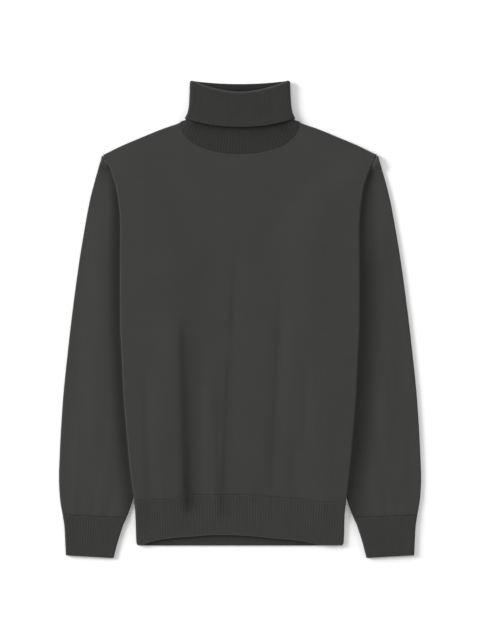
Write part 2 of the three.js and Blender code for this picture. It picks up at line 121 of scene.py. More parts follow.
def rib_profile(phase: Array) -> Array:
    """The height of a rib knit, 0 in furrows and 1 on ribs, where the phase counts ribs from a furrow."""
    return eased(0.5 - RIB_SHARPNESS * np.cos(2.0 * math.pi * phase))


@dataclass(frozen=True)
class Curve:
    """A smooth curve through a few rows of a place and its value, which never overshoots them."""

    rows: tuple[tuple[float, float], ...]

    def __call__(self, at: Values) -> Array:
        """The curve's value at each place.

        Args:
            at: The places, of any shape. Outside the rows the nearest row's value holds.

        Returns:
            The values, in the same shape.
        """
        xs, ys = np.array(self.rows).T
        rises = np.diff(ys) / np.diff(xs)
        before = np.concatenate([rises[:1], rises])
        after = np.concatenate([rises, rises[-1:]])
        same_way = before * after > 0
        total = np.where(same_way, before + after, 1.0)
        slopes = np.where(same_way, 2.0 * before * after / total, 0.0)
        inside = np.clip(at, xs[0], xs[-1])
        i = np.clip(np.searchsorted(xs, inside) - 1, 0, len(xs) - 2)
        width = xs[i + 1] - xs[i]
        t = (inside - xs[i]) / width
        stay = (1 + 2 * t) * (1 - t) ** 2 * ys[i] + t * t * (3 - 2 * t) * ys[i + 1]
        return stay + width * t * (1 - t) * ((1 - t) * slopes[i] - t * slopes[i + 1])


@dataclass(frozen=True)
class Fold:
    """A long soft crease: a ridge where it rises and a trough where it sinks, steeper on one side.

    Its top and foot are places across and along. Left and right are its widths to either side of its line.
    """

    top: tuple[float, float]
    foot: tuple[float, float]
    rise: float
    left: float
    right: float
    fade: float = 70.0
    sway: float = 0.0
    # Painted shade in the fold's hollow: how dark, how wide to each side, how it deepens and where it ends.
    shade: float = 0.0
    shade_spread: float = 1.4
    shade_power: float = 1.5
    shade_end: tuple[float, float] = (2.0, 0.8)

    def off_centre(self, x: Array, y: Array) -> tuple[Array, Array]:
        """How far each point lies from the fold's line, and its share of the way down the fold."""
        along = (self.top[1] - y) / (self.top[1] - self.foot[1])
        return x - mix(self.top[0], self.foot[0], along) - self.sway * np.sin(2 * math.pi * along), along

    def relief(self, x: Array, y: Array) -> Array:
        """How far the fold lifts the cloth at each point.

        Args:
            x: The points' places across the sweater.
            y: Their places along it.

        Returns:
            The lift, which is negative in a trough.
        """
        off, _ = self.off_centre(x, y)
        ends = eased((self.top[1] - y) / self.fade) * eased((y - self.foot[1]) / self.fade)
        return self.rise * ends * np.exp(-((off / np.where(off < 0, self.left, self.right)) ** 2))

    def hollow(self, x: Array, y: Array) -> Array:
        """How much painted shade each point takes in the fold's hollow, which deepens towards its foot.

        Args:
            x: The points' places across the sweater.
            y: Their places along it.

        Returns:
            The painted shade, from 0 to the fold's shade.
        """
        off, along = self.off_centre(x, y)
        off = off + self.left / 2
        width = np.where(off < 0, self.shade_spread * self.left, self.right)
        gain, late = self.shade_end
        ended = eased(gain * (y - self.foot[1]) / self.fade - late)
        deepened = np.clip(along, 0.0, 1.0) ** self.shade_power * ended
        return self.shade * deepened * np.exp(-((off / width) ** 2))


@dataclass(frozen=True)
class Gather:
    """A short crease that starts at a seam and fades away from it."""

    across: float
    rise: float
    width: float
    length: float

    def relief(self, x: Array, distance: Array) -> Array:
        """How far the gather lifts the cloth at each place along the seam and distance from it."""
        fade = eased(1.0 - distance / self.length)
        return self.rise * fade * np.exp(-(((x - self.across) / self.width) ** 2))


@dataclass(frozen=True)
class BodyForm:
    """The outline and the lie of the body, which its panels, its hem and the collar share."""

    height: float = 4.8
    shoulder_y: float = 272.5
    chest_y: float = 145.0
    shoulder_line: Curve = Curve(((97.8, 326.7), (130, 315.6), (161, 303), (195, 288.5), (227.2, 272.6)))
    side: Curve = Curve((
        (-375, 168.8), (-372.5, 171), (-369, 172), (-324, 173.5), (-295, 176.5), (-266, 180),
        (-230, 184), (-187, 187.8), (-120, 193), (-54, 196), (-17, 198), (60, 198.5), (145, 198),
        (175, 199), (192, 201), (213, 204), (231, 209), (253, 218), (263, 223.9), (267, 225.6),
        (272.5, 227.3),
    ))
    hem_seam: Curve = Curve((
        (-180, -299.9), (-140, -299.2), (-108, -298.2), (-92, -291.6), (-60, -290.8), (0, -290.7),
        (30, -291.8), (68, -295.4), (93, -297), (129, -301.8), (180, -305),
    ))
    hem_front_edge: Curve = Curve((
        (-180, -374.6), (-168, -374), (-149, -368.2), (-126, -363.9), (-103, -361.4), (-80, -360),
        (-56, -357.9), (-33, -357.4), (-10, -357.7), (13, -358.9), (36, -360.9), (60, -363.4),
        (83, -365.2), (106, -367.9), (130, -372.6), (145, -374.4), (180, -374.6),
    ))
    hem_back_edge: float = -374.8
    hem_side_x: float = 180.0
    neck_half: float = 97.8
    neck_side_y: float = 327.0
    front_neck_drop: float = 52.3
    front_neck_fullness: float = 0.435
    back_neck_drop: float = 21.0
    back_neck_power: float = 2.2
    tuck_lift: float = 4.0
    tuck_ramp: float = 84.0
    tuck_lead: float = 8.0
    tuck_top: tuple[float, float] = (300.0, 232.0)
    tuck_hem: tuple[float, float] = (-285.0, -360.0)
    corner_rounding: float = 0.3
    trough_limit: float = 1.2
    hem_trough_limit: float = 0.5
    hem_ramp: float = 30.0
    sleeve_inner: Curve = Curve((
        (-396, 210.6), (-366, 202.7), (-349, 197.3), (-338, 193.6), (-328, 188.8), (-315, 183.8),
        (-295, 177.6), (-266, 174.4), (-217, 167), (-134, 153), (-51, 141), (32, 134), (100, 132),
        (160, 146), (198, 168), (231, 199.5), (238, 207.4), (243, 211.8), (247, 214.4), (251, 216.45),
        (255, 218.4), (259, 220.75), (263, 223.25), (267, 225.18), (271, 226.55),
    ))
    front_folds: tuple[Fold, ...] = (
        Fold((-92, 15), (-82, -352), -1.2, 8, 19, 60, shade=1.0),
        Fold((-105, 20), (-93, -352), 2.9, 30, 10, 70),
        Fold((-68, -10), (-66, -250), -0.8, 16, 16, 80),
        Fold((-50, -90), (-42, -345), 1.4, 15, 9, 60),
        Fold((-7, 118), (-13, -60), -0.9, 4.5, 9, 55, 1.5, shade=0.2),
        Fold((-14, -40), (-28, -358), -1.2, 5.5, 14, 50, shade=0.4),
        Fold((46, 80), (38, -310), 0.9, 32, 13, 80, 3),
        Fold((68, 85), (56, -340), -0.9, 6, 12, 60, 2),
        Fold((86, 10), (80, -280), 0.6, 12, 16, 70, 2),
        Fold((108, -60), (108, -205), -0.7, 6, 9, 45),
        Fold((92, -190), (90, -350), -0.5, 8, 14, 45),
        Fold((128, -110), (124, -320), 0.6, 17, 24, 60),
        Fold((158, -150), (151, -300), -0.4, 9, 9, 60),
        Fold((-157, -90), (-147, -345), -0.9, 6, 9, 55),
        Fold((-132, -60), (-124, -350), 0.5, 12, 18, 70),
        Fold((-60, 215), (-66, 60), 0.3, 22, 22, 60),
        Fold((112, 180), (126, 20), 0.3, 25, 20, 60),
        Fold((30, 262), (24, 170), -0.3, 16, 12, 40),
    )
    back_folds: tuple[Fold, ...] = (
        Fold((-120, 40), (-106, -330), 0.5, 9, 14, 70, 3),
        Fold((-44, 150), (-60, -290), 0.4, 12, 8, 70, 2),
        Fold((28, 60), (34, -320), 0.4, 8, 13, 70, 3),
        Fold((96, 120), (82, -270), 0.5, 14, 8, 70, 2),
        Fold((140, -60), (134, -320), 0.4, 8, 9, 60),
    )
    hem_gathers: tuple[Gather, ...] = (
        Gather(-168, 0.35, 4, 30), Gather(-151, -0.4, 4, 22), Gather(-129, 0.4, 5, 34),
        Gather(-72, 0.5, 6, 40), Gather(-48, -0.45, 4, 26), Gather(-21, 0.45, 6, 30),
        Gather(3, -0.35, 4, 22), Gather(18, 0.4, 5, 34), Gather(41, -0.35, 5, 24),
        Gather(59, 0.4, 5, 30), Gather(92, -0.4, 5, 26), Gather(107, 0.35, 4, 24),
        Gather(137, 0.45, 6, 36), Gather(160, -0.35, 5, 22),
    )

    @property
    def radius(self) -> float:
        """The radius by which the front and the back turn towards each other."""
        return (self.height - SEAM_GAP) / 2

    def across(self, share: Array, y: Array) -> Array:
        """The place across of a share of the flat half width, whose outer part alone flares to the shoulder.

        Args:
            share: Each point's share of the half width, negative on the left.
            y: Its place along the sweater.

        Returns:
            Its place across.
        """
        half = self.side(y) - self.radius
        straight = np.minimum(half, self.side(self.chest_y) - self.radius)
        return share * straight + (half - straight) * share**3

    def front_neck(self, x: Array) -> Array:
        """The front neckline's level at each place across."""
        across = np.minimum(1.0, np.abs(x) / self.neck_half)
        return self.neck_side_y - self.front_neck_drop * (1 - across**2) ** self.front_neck_fullness

    def back_neck(self, x: Array) -> Array:
        """The back neckline's level at each place across."""
        across = np.minimum(1.0, np.abs(x) / self.neck_half)
        return self.neck_side_y - self.back_neck_drop * (1 - across**self.back_neck_power)

    def tucked(self, x: Array, y: Array) -> Array:
        """How far the tucked sleeves lift the body off the floor.

        Args:
            x: The points' places across the sweater.
            y: Their places along it.

        Returns:
            The lift at each point.
        """
        full = self.sleeve_inner(y) - self.tuck_lead
        across = eased((np.abs(x) - full + self.tuck_ramp) / self.tuck_ramp)
        above = eased((self.tuck_top[0] - y) / (self.tuck_top[0] - self.tuck_top[1]))
        below = eased((y - self.tuck_hem[1]) / (self.tuck_hem[0] - self.tuck_hem[1]))
        return self.tuck_lift * across * above * below

    def relief(self, x: Array, y: Array, layer: Layer) -> Array:
        """How far folds and gathers lift a layer of the body at each point.

        Args:
            x: The points' places across the sweater.
            y: Their places along it.
            layer: Front or back. The back only rises, because it lies on the floor.

        Returns:
            The lift at each point.
        """
        folds = self.front_folds if layer is Layer.FRONT else self.back_folds
        total = sum(fold.relief(x, y) for fold in folds)
        if layer is Layer.FRONT:
            off_seam = np.abs(y - self.hem_seam(x))
            total = total + sum(gather.relief(x, off_seam) for gather in self.hem_gathers)
        on_body = eased((y - self.hem_seam(x)) / self.hem_ramp)
        limit = mix(self.hem_trough_limit, self.trough_limit, on_body)
        return np.where(total < 0, limit * np.tanh(total / limit), total)

    def shade(self, x: Array, y: Array) -> Array:
        """How much painted shade each point of the front takes in the folds' hollows, from 0 to about 1."""
        return sum(fold.hollow(x, y) for fold in self.front_folds)

    def turned(
        self, x: Array, y: Array, side_turn: Array, end_turn: Array, depth: Array, layer: Layer
    ) -> Array:
        """Points of the front or back where the cloth may turn down at its side or its shoulder.

        Args:
            x: Places across, before the turn.
            y: Places along, before the turn.
            side_turn: How far each point is round the side's turn, from 0 on the flat to 1 at the seam.
            end_turn: The same for the shoulder's turn.
            depth: How far each point lies inside the wall.
            layer: Front or back.

        Returns:
            The points, with their three coordinates last.
        """
        reach = self.radius - depth
        side = side_turn * QUARTER_TURN
        end = end_turn * QUARTER_TURN
        drop = reach * np.cos(side) * np.cos(end)
        base = self.tucked(x, y)
        if layer is Layer.FRONT:
            z = base + self.height + self.relief(x, y, layer) - self.radius + drop
        else:
            z = base + self.relief(x, y, layer) * np.cos(side) + self.radius - drop
        outward = reach * np.sin(side) * (1 - self.corner_rounding * (1 - np.cos(end)))
        upward = reach * np.sin(end) * (1 - self.corner_rounding * (1 - np.cos(side)))
        return np.stack([x + np.sign(x) * outward, y + upward, z], axis=-1)


class Grid(NamedTuple):
    """One side of a wall: its points, and where each lies in the knit."""

    points: Array
    cloth: Array
    # Painted shade for the colour, and a painted highlight where it is negative.
    hollow: Array


@dataclass
class Shell:
    """A closed piece of cloth: its points, faces and what the knit needs to know at each point."""

    points: Array
    faces: list[tuple[int, ...]]
    cloth: Array
    # Painted shade for the colour, and a painted highlight where it is negative.
    hollow: Array

    def on(self, side: Side) -> "Shell":
        """The piece on its side of the sweater, where it was worked out as on the right.

        Args:
            side: Its side.

        Returns:
            The piece itself, or its mirror image on the left.
        """
        if side is Side.RIGHT:
            return self
        points = self.points * np.array([-1.0, 1.0, 1.0])
        return Shell(points, [face[::-1] for face in self.faces], self.cloth, self.hollow)

    def make(self, name: str, material: bpy.types.Material) -> bpy.types.Object:
        """Makes the Blender object.

        Args:
            name: The piece's name.
            material: Its finish.

        Returns:
            The new object, linked to the scene.
        """
        mesh = bpy.data.meshes.new(name)
        mesh.from_pydata((self.points * MM).tolist(), [], self.faces)
        cloth = mesh.attributes.new("cloth", "FLOAT_VECTOR", "POINT")
        cloth.data.foreach_set("vector", self.cloth.astype(np.float32).ravel())
        # The hollow attribute carries painted shade, and a painted highlight where it is negative.
        hollow = mesh.attributes.new("hollow", "FLOAT", "POINT")
        hollow.data.foreach_set("value", self.hollow.astype(np.float32).ravel())
        mesh.materials.append(material)
        mesh.shade_smooth()
        made = bpy.data.objects.new(name, mesh)
        bpy.context.scene.collection.objects.link(made)
        return made


def grid_faces(rows: int, columns: int, start: int, turned: bool) -> list[tuple[int, ...]]:
    """The four-sided faces of a grid of vertices.

    Args:
        rows: How many rows of vertices it has.
        columns: How many vertices each row has.
        start: The number of its first vertex.
        turned: Whether its faces look the other way.

    Returns:
        The faces.
    """
    corner = start + np.arange(rows - 1)[:, None] * columns + np.arange(columns - 1)[None, :]
    a, b, d, e = corner, corner + 1, corner + columns, corner + columns + 1
    order = (a, d, e, b) if turned else (a, b, e, d)
    return list(map(tuple, np.stack(order, axis=-1).reshape(-1, 4).tolist()))


def band(first: Sequence[tuple[int, float]], second: Sequence[tuple[int, float]]) -> list[tuple[int, ...]]:
    """The triangles between two runs of vertices that follow the same edge.

    Args:
        first: Pairs of a vertex and how far along the edge it lies.
        second: The same for the other run.

    Returns:
        The triangles.
    """
    faces = []
    i = j = 0
    while i < len(first) - 1 or j < len(second) - 1:
        first_next = first[i + 1][1] if i < len(first) - 1 else math.inf
        second_next = second[j + 1][1] if j < len(second) - 1 else math.inf
        if first_next <= second_next:
            faces.append((first[i][0], second[j][0], first[i + 1][0]))
            i += 1
        else:
            faces.append((first[i][0], second[j][0], second[j + 1][0]))
            j += 1
    return faces


def every(count: int, step: int) -> Array:
    """Every step-th index of a list of that length, with its last one."""
    kept = np.arange(0, count, step)
    return kept if kept[-1] == count - 1 else np.append(kept, count - 1)


def wall(
    side: Callable[[Array, Array, bool], Grid], rows: int, columns: int, step: int, reverse: bool,
    close_rows: tuple[int, int], close_columns: Sequence[int] = (),
) -> Shell:
    """A wall of cloth with a fine outside and a plainer inside.

    Args:
        side: Gives the wall's outside or inside at lists of row and column numbers.
        rows: How many rows the outside has.
        columns: How many columns it has.
        step: How many of the outside's rows and columns go to one of the inside.
        reverse: Whether its faces look the other way, as on a layer that faces down.
        close_rows: The first row, and the one after the last, of those that all go to the inside.
        close_columns: The columns that go to the inside as well.

    Returns:
        The closed wall.
    """
    outer_rows, outer_columns = np.arange(rows), np.arange(columns)
    inner_rows = np.union1d(every(rows, step), np.arange(*close_rows))
    inner_columns = np.union1d(every(columns, step), np.array(close_columns, dtype=int))
    outer = side(outer_rows, outer_columns, False)
    inner = side(inner_rows, inner_columns, True)
    start = rows * columns
    outer_ids = np.arange(start).reshape(rows, columns)
    inner_ids = start + np.arange(len(inner_rows) * len(inner_columns))
    inner_ids = inner_ids.reshape(len(inner_rows), len(inner_columns))
    faces = grid_faces(rows, columns, 0, False)
    faces += grid_faces(len(inner_rows), len(inner_columns), start, True)

    def run(ids: Array, marks: Array) -> list[tuple[int, float]]:
        """Pairs of a vertex and its place along an edge."""
        return list(zip(ids.tolist(), marks.tolist()))

    faces += band(run(outer_ids[0], outer_columns), run(inner_ids[0], inner_columns))
    faces += band(run(inner_ids[:, 0], inner_rows), run(outer_ids[:, 0], outer_rows))
    faces += band(run(inner_ids[-1], inner_columns), run(outer_ids[-1], outer_columns))
    faces += band(run(outer_ids[:, -1], outer_rows), run(inner_ids[:, -1], inner_rows))
    if reverse:
        faces = [face[::-1] for face in faces]
    return Shell(
        np.concatenate([outer.points.reshape(-1, 3), inner.points.reshape(-1, 3)]),
        faces,
        np.concatenate([outer.cloth.reshape(-1, 3), inner.cloth.reshape(-1, 3)]),
        np.concatenate([outer.hollow.ravel(), inner.hollow.ravel()]),
    )


class Grain(NamedTuple):
    """A noise in the knit: how far it is squeezed across and along, what keeps it apart, and its detail."""

    across: float
    along: float
    apart: float
    scale: float
    detail: float


class Wiring:
    """Adds shader nodes to one tree and links them, so that a formula is a few calls."""

    def __init__(self, tree: bpy.types.NodeTree) -> None:
        """Starts on a tree."""
        self.tree = tree

    def node(self, kind: str, **settings: object) -> bpy.types.Node:
        """Adds a node.

        Args:
            kind: Its Blender type.
            settings: Its properties by name.

        Returns:
            The new node.
        """
        made = self.tree.nodes.new(kind)
        for name, value in settings.items():
            setattr(made, name, value)
        return made

    def feed(self, socket: bpy.types.NodeSocket, value: object) -> None:
        """Links a socket to another one, or sets its own value.

        Args:
            socket: The socket that takes the value.
            value: A socket that puts it out, or the value itself.
        """
        if isinstance(value, bpy.types.NodeSocket):
            self.tree.links.new(value, socket)
        else:
            socket.default_value = value

    def math(self, operation: str, *values: object) -> bpy.types.NodeSocket:
        """Adds a Math node.

        Args:
            operation: Its Blender operation.
            values: The sockets or numbers that it takes.

        Returns:
            What it puts out.
        """
        made = self.node("ShaderNodeMath", operation=operation)
        for socket, value in zip(made.inputs, values):
            self.feed(socket, value)
        return made.outputs[0]

    def vector(self, x: object, y: object, z: object) -> bpy.types.NodeSocket:
        """Adds a vector.

        Args:
            x: A socket or number.
            y: Another one.
            z: The third.

        Returns:
            The vector.
        """
        made = self.node("ShaderNodeCombineXYZ")
        for socket, value in zip(made.inputs, (x, y, z)):
            self.feed(socket, value)
        return made.outputs[0]

    def noise(self, given: object, grain: Grain) -> bpy.types.NodeSocket:
        """Adds a noise.

        Args:
            given: The inputs of a group, with the places Across and Along among them.
            grain: Its sizes.

        Returns:
            Its value, which is 0.5 on average.
        """
        made = self.node("ShaderNodeTexNoise")
        x = self.math("MULTIPLY", given["Across"], grain.across)
        y = self.math("MULTIPLY", given["Along"], grain.along)
        self.feed(made.inputs["Vector"], self.vector(x, y, grain.apart))
        made.inputs["Scale"].default_value = grain.scale
        made.inputs["Detail"].default_value = grain.detail
        return made.outputs["Fac"]

    def arch(self, value: object) -> bpy.types.NodeSocket:
        """A parabola that is 0 where the value is 0 or 1 and 1 halfway between."""
        doubled = self.math("MULTIPLY_ADD", value, 2.0, -1.0)
        return self.math("SUBTRACT", 1.0, self.math("MULTIPLY", doubled, doubled))

    def group(self, tree: bpy.types.NodeTree, **values: object) -> bpy.types.Node:
        """Places a node group with its own values.

        Args:
            tree: The group.
            values: What its inputs take, by name, with _ for a space.

        Returns:
            The group's node.
        """
        made = self.node("ShaderNodeGroup", node_tree=tree)
        for name, value in values.items():
            self.feed(made.inputs[name.replace("_", " ")], value)
        return made


class KnitGroups:
    """The effects that both knits share, each a node group that is built once."""

    lengthwise = Grain(across=1.6, along=0.5, apart=0.0, scale=2.2, detail=3.0)
    crosswise = Grain(across=0.5, along=1.7, apart=4.0, scale=2.6, detail=3.0)
    spots = Grain(across=1.0, along=1.0, apart=9.0, scale=0.55, detail=2.0)
    course_bands = Grain(across=0.008, along=1.0, apart=0.0, scale=0.35, detail=2.0)
    wale_bands = Grain(across=1.0, along=0.01, apart=3.0, scale=0.3, detail=2.0)
    patches = Grain(across=1.0, along=1.0, apart=6.0, scale=0.018, detail=3.0)
    lint_from = 0.68
    lint_gain = 4.0

    def __init__(self) -> None:
        """Builds the groups."""
        self.stitches = self.build_stitches()
        self.fibres = self.build_fibres()
        self.tone = self.build_tone()

    @staticmethod
    def start(name: str, inputs: Sequence[str], outputs: Sequence[str]) -> tuple[Wiring, object, object]:
        """Starts a group whose sockets all hold numbers.

        Args:
            name: The group's name.
            inputs: The names of what it takes in.
            outputs: The names of what it puts out.

        Returns:
            The wiring of its tree, its inputs by name and its outputs by name.
        """
        tree = bpy.data.node_groups.new(name, "ShaderNodeTree")
        for label in inputs:
            tree.interface.new_socket(name=label, in_out="INPUT", socket_type="NodeSocketFloat")
        for label in outputs:
            tree.interface.new_socket(name=label, in_out="OUTPUT", socket_type="NodeSocketFloat")
        wiring = Wiring(tree)
        return wiring, wiring.node("NodeGroupInput").outputs, wiring.node("NodeGroupOutput").inputs

    def build_stitches(self) -> bpy.types.NodeTree:
        """The loops of the knit: rows of V stitches, and of bars where the back of the stitch shows.

        Returns:
            A group that puts out the yarn's height, from 0 between the yarns to 1 on them.
        """
        names = ("Across", "Along", "Wale", "Course", "Slant", "Purl")
        w, given, made = self.start("knit stitches", names, ("Height",))
        wale = w.math("FRACT", w.math("DIVIDE", given["Across"], given["Wale"]))
        off_centre = w.math("MULTIPLY", w.math("ABSOLUTE", w.math("SUBTRACT", wale, 0.5)), 2.0)
        course = w.math("DIVIDE", given["Along"], given["Course"])
        slanted = w.math("MULTIPLY_ADD", off_centre, given["Slant"], course)
        leg = w.math("MULTIPLY", w.arch(w.math("FRACT", slanted)), w.arch(off_centre))
        knit = w.math("SQRT", w.math("MAXIMUM", leg, 0.0))
        bar = w.math("SQRT", w.math("MAXIMUM", w.arch(w.math("FRACT", course)), 0.0))
        step = w.math("SUBTRACT", bar, knit)
        w.feed(made["Height"], w.math("MULTIPLY_ADD", step, given["Purl"], knit))
        return w.tree

    def build_fibres(self) -> bpy.types.NodeTree:
        """The halo of loose wool fibres and the lint caught in it.

        Returns:
            A group that puts out the fibres' height and a mask of the palest ones.
        """
        w, given, made = self.start("wool fibres", ("Across", "Along"), ("Height", "Lint"))
        halo = w.math("MAXIMUM", w.noise(given, self.lengthwise), w.noise(given, self.crosswise))
        w.feed(made["Height"], halo)
        palest = w.math("SUBTRACT", w.noise(given, self.spots), self.lint_from)
        w.feed(made["Lint"], w.math("MULTIPLY", w.math("MAXIMUM", palest, 0.0), self.lint_gain))
        return w.tree

    def build_tone(self) -> bpy.types.NodeTree:
        """The uneven depth of colour: faint bands along the courses and wales, and soft patches.

        Returns:
            A group that puts out a factor near 1 for the colour.
        """
        w, given, made = self.start("yarn tone", ("Across", "Along", "Bands", "Patches"), ("Factor",))
        grains = (self.course_bands, self.wale_bands, self.patches)
        course, wale, patch = (w.math("SUBTRACT", w.noise(given, grain), 0.5) for grain in grains)
        banded = w.math("MULTIPLY", w.math("ADD", course, wale), given["Bands"])
        w.feed(made["Factor"], w.math("ADD", w.math("MULTIPLY_ADD", patch, given["Patches"], 1.0), banded))
        return w.tree


@dataclass(frozen=True)
class KnitFinish:
    """A matt wool knit: its colour, its gauge, how far its stitches and fibres stand out, and its painted
    shade.
    """

    name: str
    color: tuple[float, float, float]
    wale: float = 1.25
    course: float = 0.95
    slant: float = 0.9
    purl_furrows: float = 0.0
    stitch_depth: float = 0.16
    fibre_depth: float = 0.10
    gap_shade: float = 0.35
    bands: float = 0.10
    patches: float = 0.10
    lint: float = 0.6
    # How far painted shade from the hollow attribute darkens the colour; where negative it lightens it as a
    # painted highlight.
    hollow_shade: float = 0.45
    roughness: float = 0.92
    specular: float = 0.08
    sheen: float = 0.03
    sheen_roughness: float = 0.5

    def make(self, groups: KnitGroups) -> bpy.types.Material:
        """Makes the material.

        Args:
            groups: The effects that it shares with the other knit.

        Returns:
            The material.
        """
        material = bpy.data.materials.new(self.name)
        material.use_nodes = True
        tree = material.node_tree
        tree.nodes.clear()
        w = Wiring(tree)
        place = w.node("ShaderNodeSeparateXYZ")
        w.feed(place.inputs[0], w.node("ShaderNodeAttribute", attribute_name="cloth").outputs["Vector"])
        across, along, rib = place.outputs
        hollow = w.node("ShaderNodeAttribute", attribute_name="hollow").outputs["Fac"]
        furrow = w.math("MULTIPLY", w.math("SUBTRACT", 1.0, rib), self.purl_furrows)
        stitches = w.group(
            groups.stitches, Across=across, Along=along, Wale=self.wale, Course=self.course,
            Slant=self.slant, Purl=furrow,
        )
        fibres = w.group(groups.fibres, Across=across, Along=along)
        tone = w.group(groups.tone, Across=across, Along=along, Bands=self.bands, Patches=self.patches)
        yarn = stitches.outputs["Height"]
        # Painted shade in the gaps between the yarns.
        shaded = w.math("MULTIPLY_ADD", yarn, self.gap_shade, 1.0 - self.gap_shade)
        lifted = w.math("MULTIPLY_ADD", fibres.outputs["Lint"], self.lint, 1.0)
        # Painted shade from the hollow attribute, or a painted highlight where it is negative.
        sunk = w.math("MULTIPLY_ADD", hollow, -self.hollow_shade, 1.0)
        toned = w.math("MULTIPLY", shaded, tone.outputs["Factor"])
        factor = w.math("MULTIPLY", toned, w.math("MULTIPLY", lifted, sunk))
        scaled = w.node("ShaderNodeVectorMath", operation="SCALE")
        scaled.inputs[0].default_value = self.color
        w.feed(scaled.inputs["Scale"], factor)
        raised = w.math("MULTIPLY", yarn, self.stitch_depth)
        height = w.math("MULTIPLY_ADD", fibres.outputs["Height"], self.fibre_depth, raised)
        bump = w.node("ShaderNodeBump")
        bump.inputs["Strength"].default_value = 1.0
        bump.inputs["Distance"].default_value = MM
        w.feed(bump.inputs["Height"], height)
        surface = w.node("ShaderNodeBsdfPrincipled")
        w.feed(surface.inputs["Base Color"], scaled.outputs["Vector"])
        w.feed(surface.inputs["Normal"], bump.outputs["Normal"])
        surface.inputs["Roughness"].default_value = self.roughness
        surface.inputs["Specular IOR Level"].default_value = self.specular
        surface.inputs["Sheen Weight"].default_value = self.sheen
        surface.inputs["Sheen Roughness"].default_value = self.sheen_roughness
        output = w.node("ShaderNodeOutputMaterial")
        w.feed(output.inputs["Surface"], surface.outputs["BSDF"])
        return material


@dataclass(frozen=True)
class Wardrobe:
    """The finishes of the sweater's pieces."""

    body: bpy.types.Material
    sleeve: bpy.types.Material
    hem: bpy.types.Material
    cuff: bpy.types.Material
    collar: bpy.types.Material

    @classmethod
    def make(cls) -> "Wardrobe":
        """Makes the finishes, each one of the two knits in its own colour.

        Returns:
            The finishes.
        """
        groups = KnitGroups()
        rib = {"purl_furrows": 1.0, "wale": 1.1, "gap_shade": 0.3}
        # The ribs' colours, darker than the jersey's, are partly the ribs' own tone and partly painted shade
        # of the ribs and the collar's folds.
        return cls(
            body=KnitFinish("body jersey", (0.0426, 0.0426, 0.0398)).make(groups),
            sleeve=KnitFinish("sleeve jersey", (0.0444, 0.0444, 0.0416)).make(groups),
            hem=KnitFinish("hem rib", (0.0370, 0.0370, 0.0346), **rib).make(groups),
            cuff=KnitFinish("cuff rib", (0.0355, 0.0355, 0.0333), **rib).make(groups),
            collar=KnitFinish("collar rib", (0.0298, 0.0298, 0.0278), **rib).make(groups),
        )


def fit(shell: Shell, name: str, material: bpy.types.Material, node: str) -> bpy.types.Object:
    """Makes a piece, lets it ride on the sweater and stand for its solid.

    Args:
        shell: Its form.
        name: Its name.
        material: Its finish.
        node: The solid that it stands for.

    Returns:
        The piece.
    """
    piece = shell.make(name, material)
    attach(piece, BODY)
    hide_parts(node)
    LOG.info("%s: %d faces for %s", name, len(shell.faces), node)
    return piece


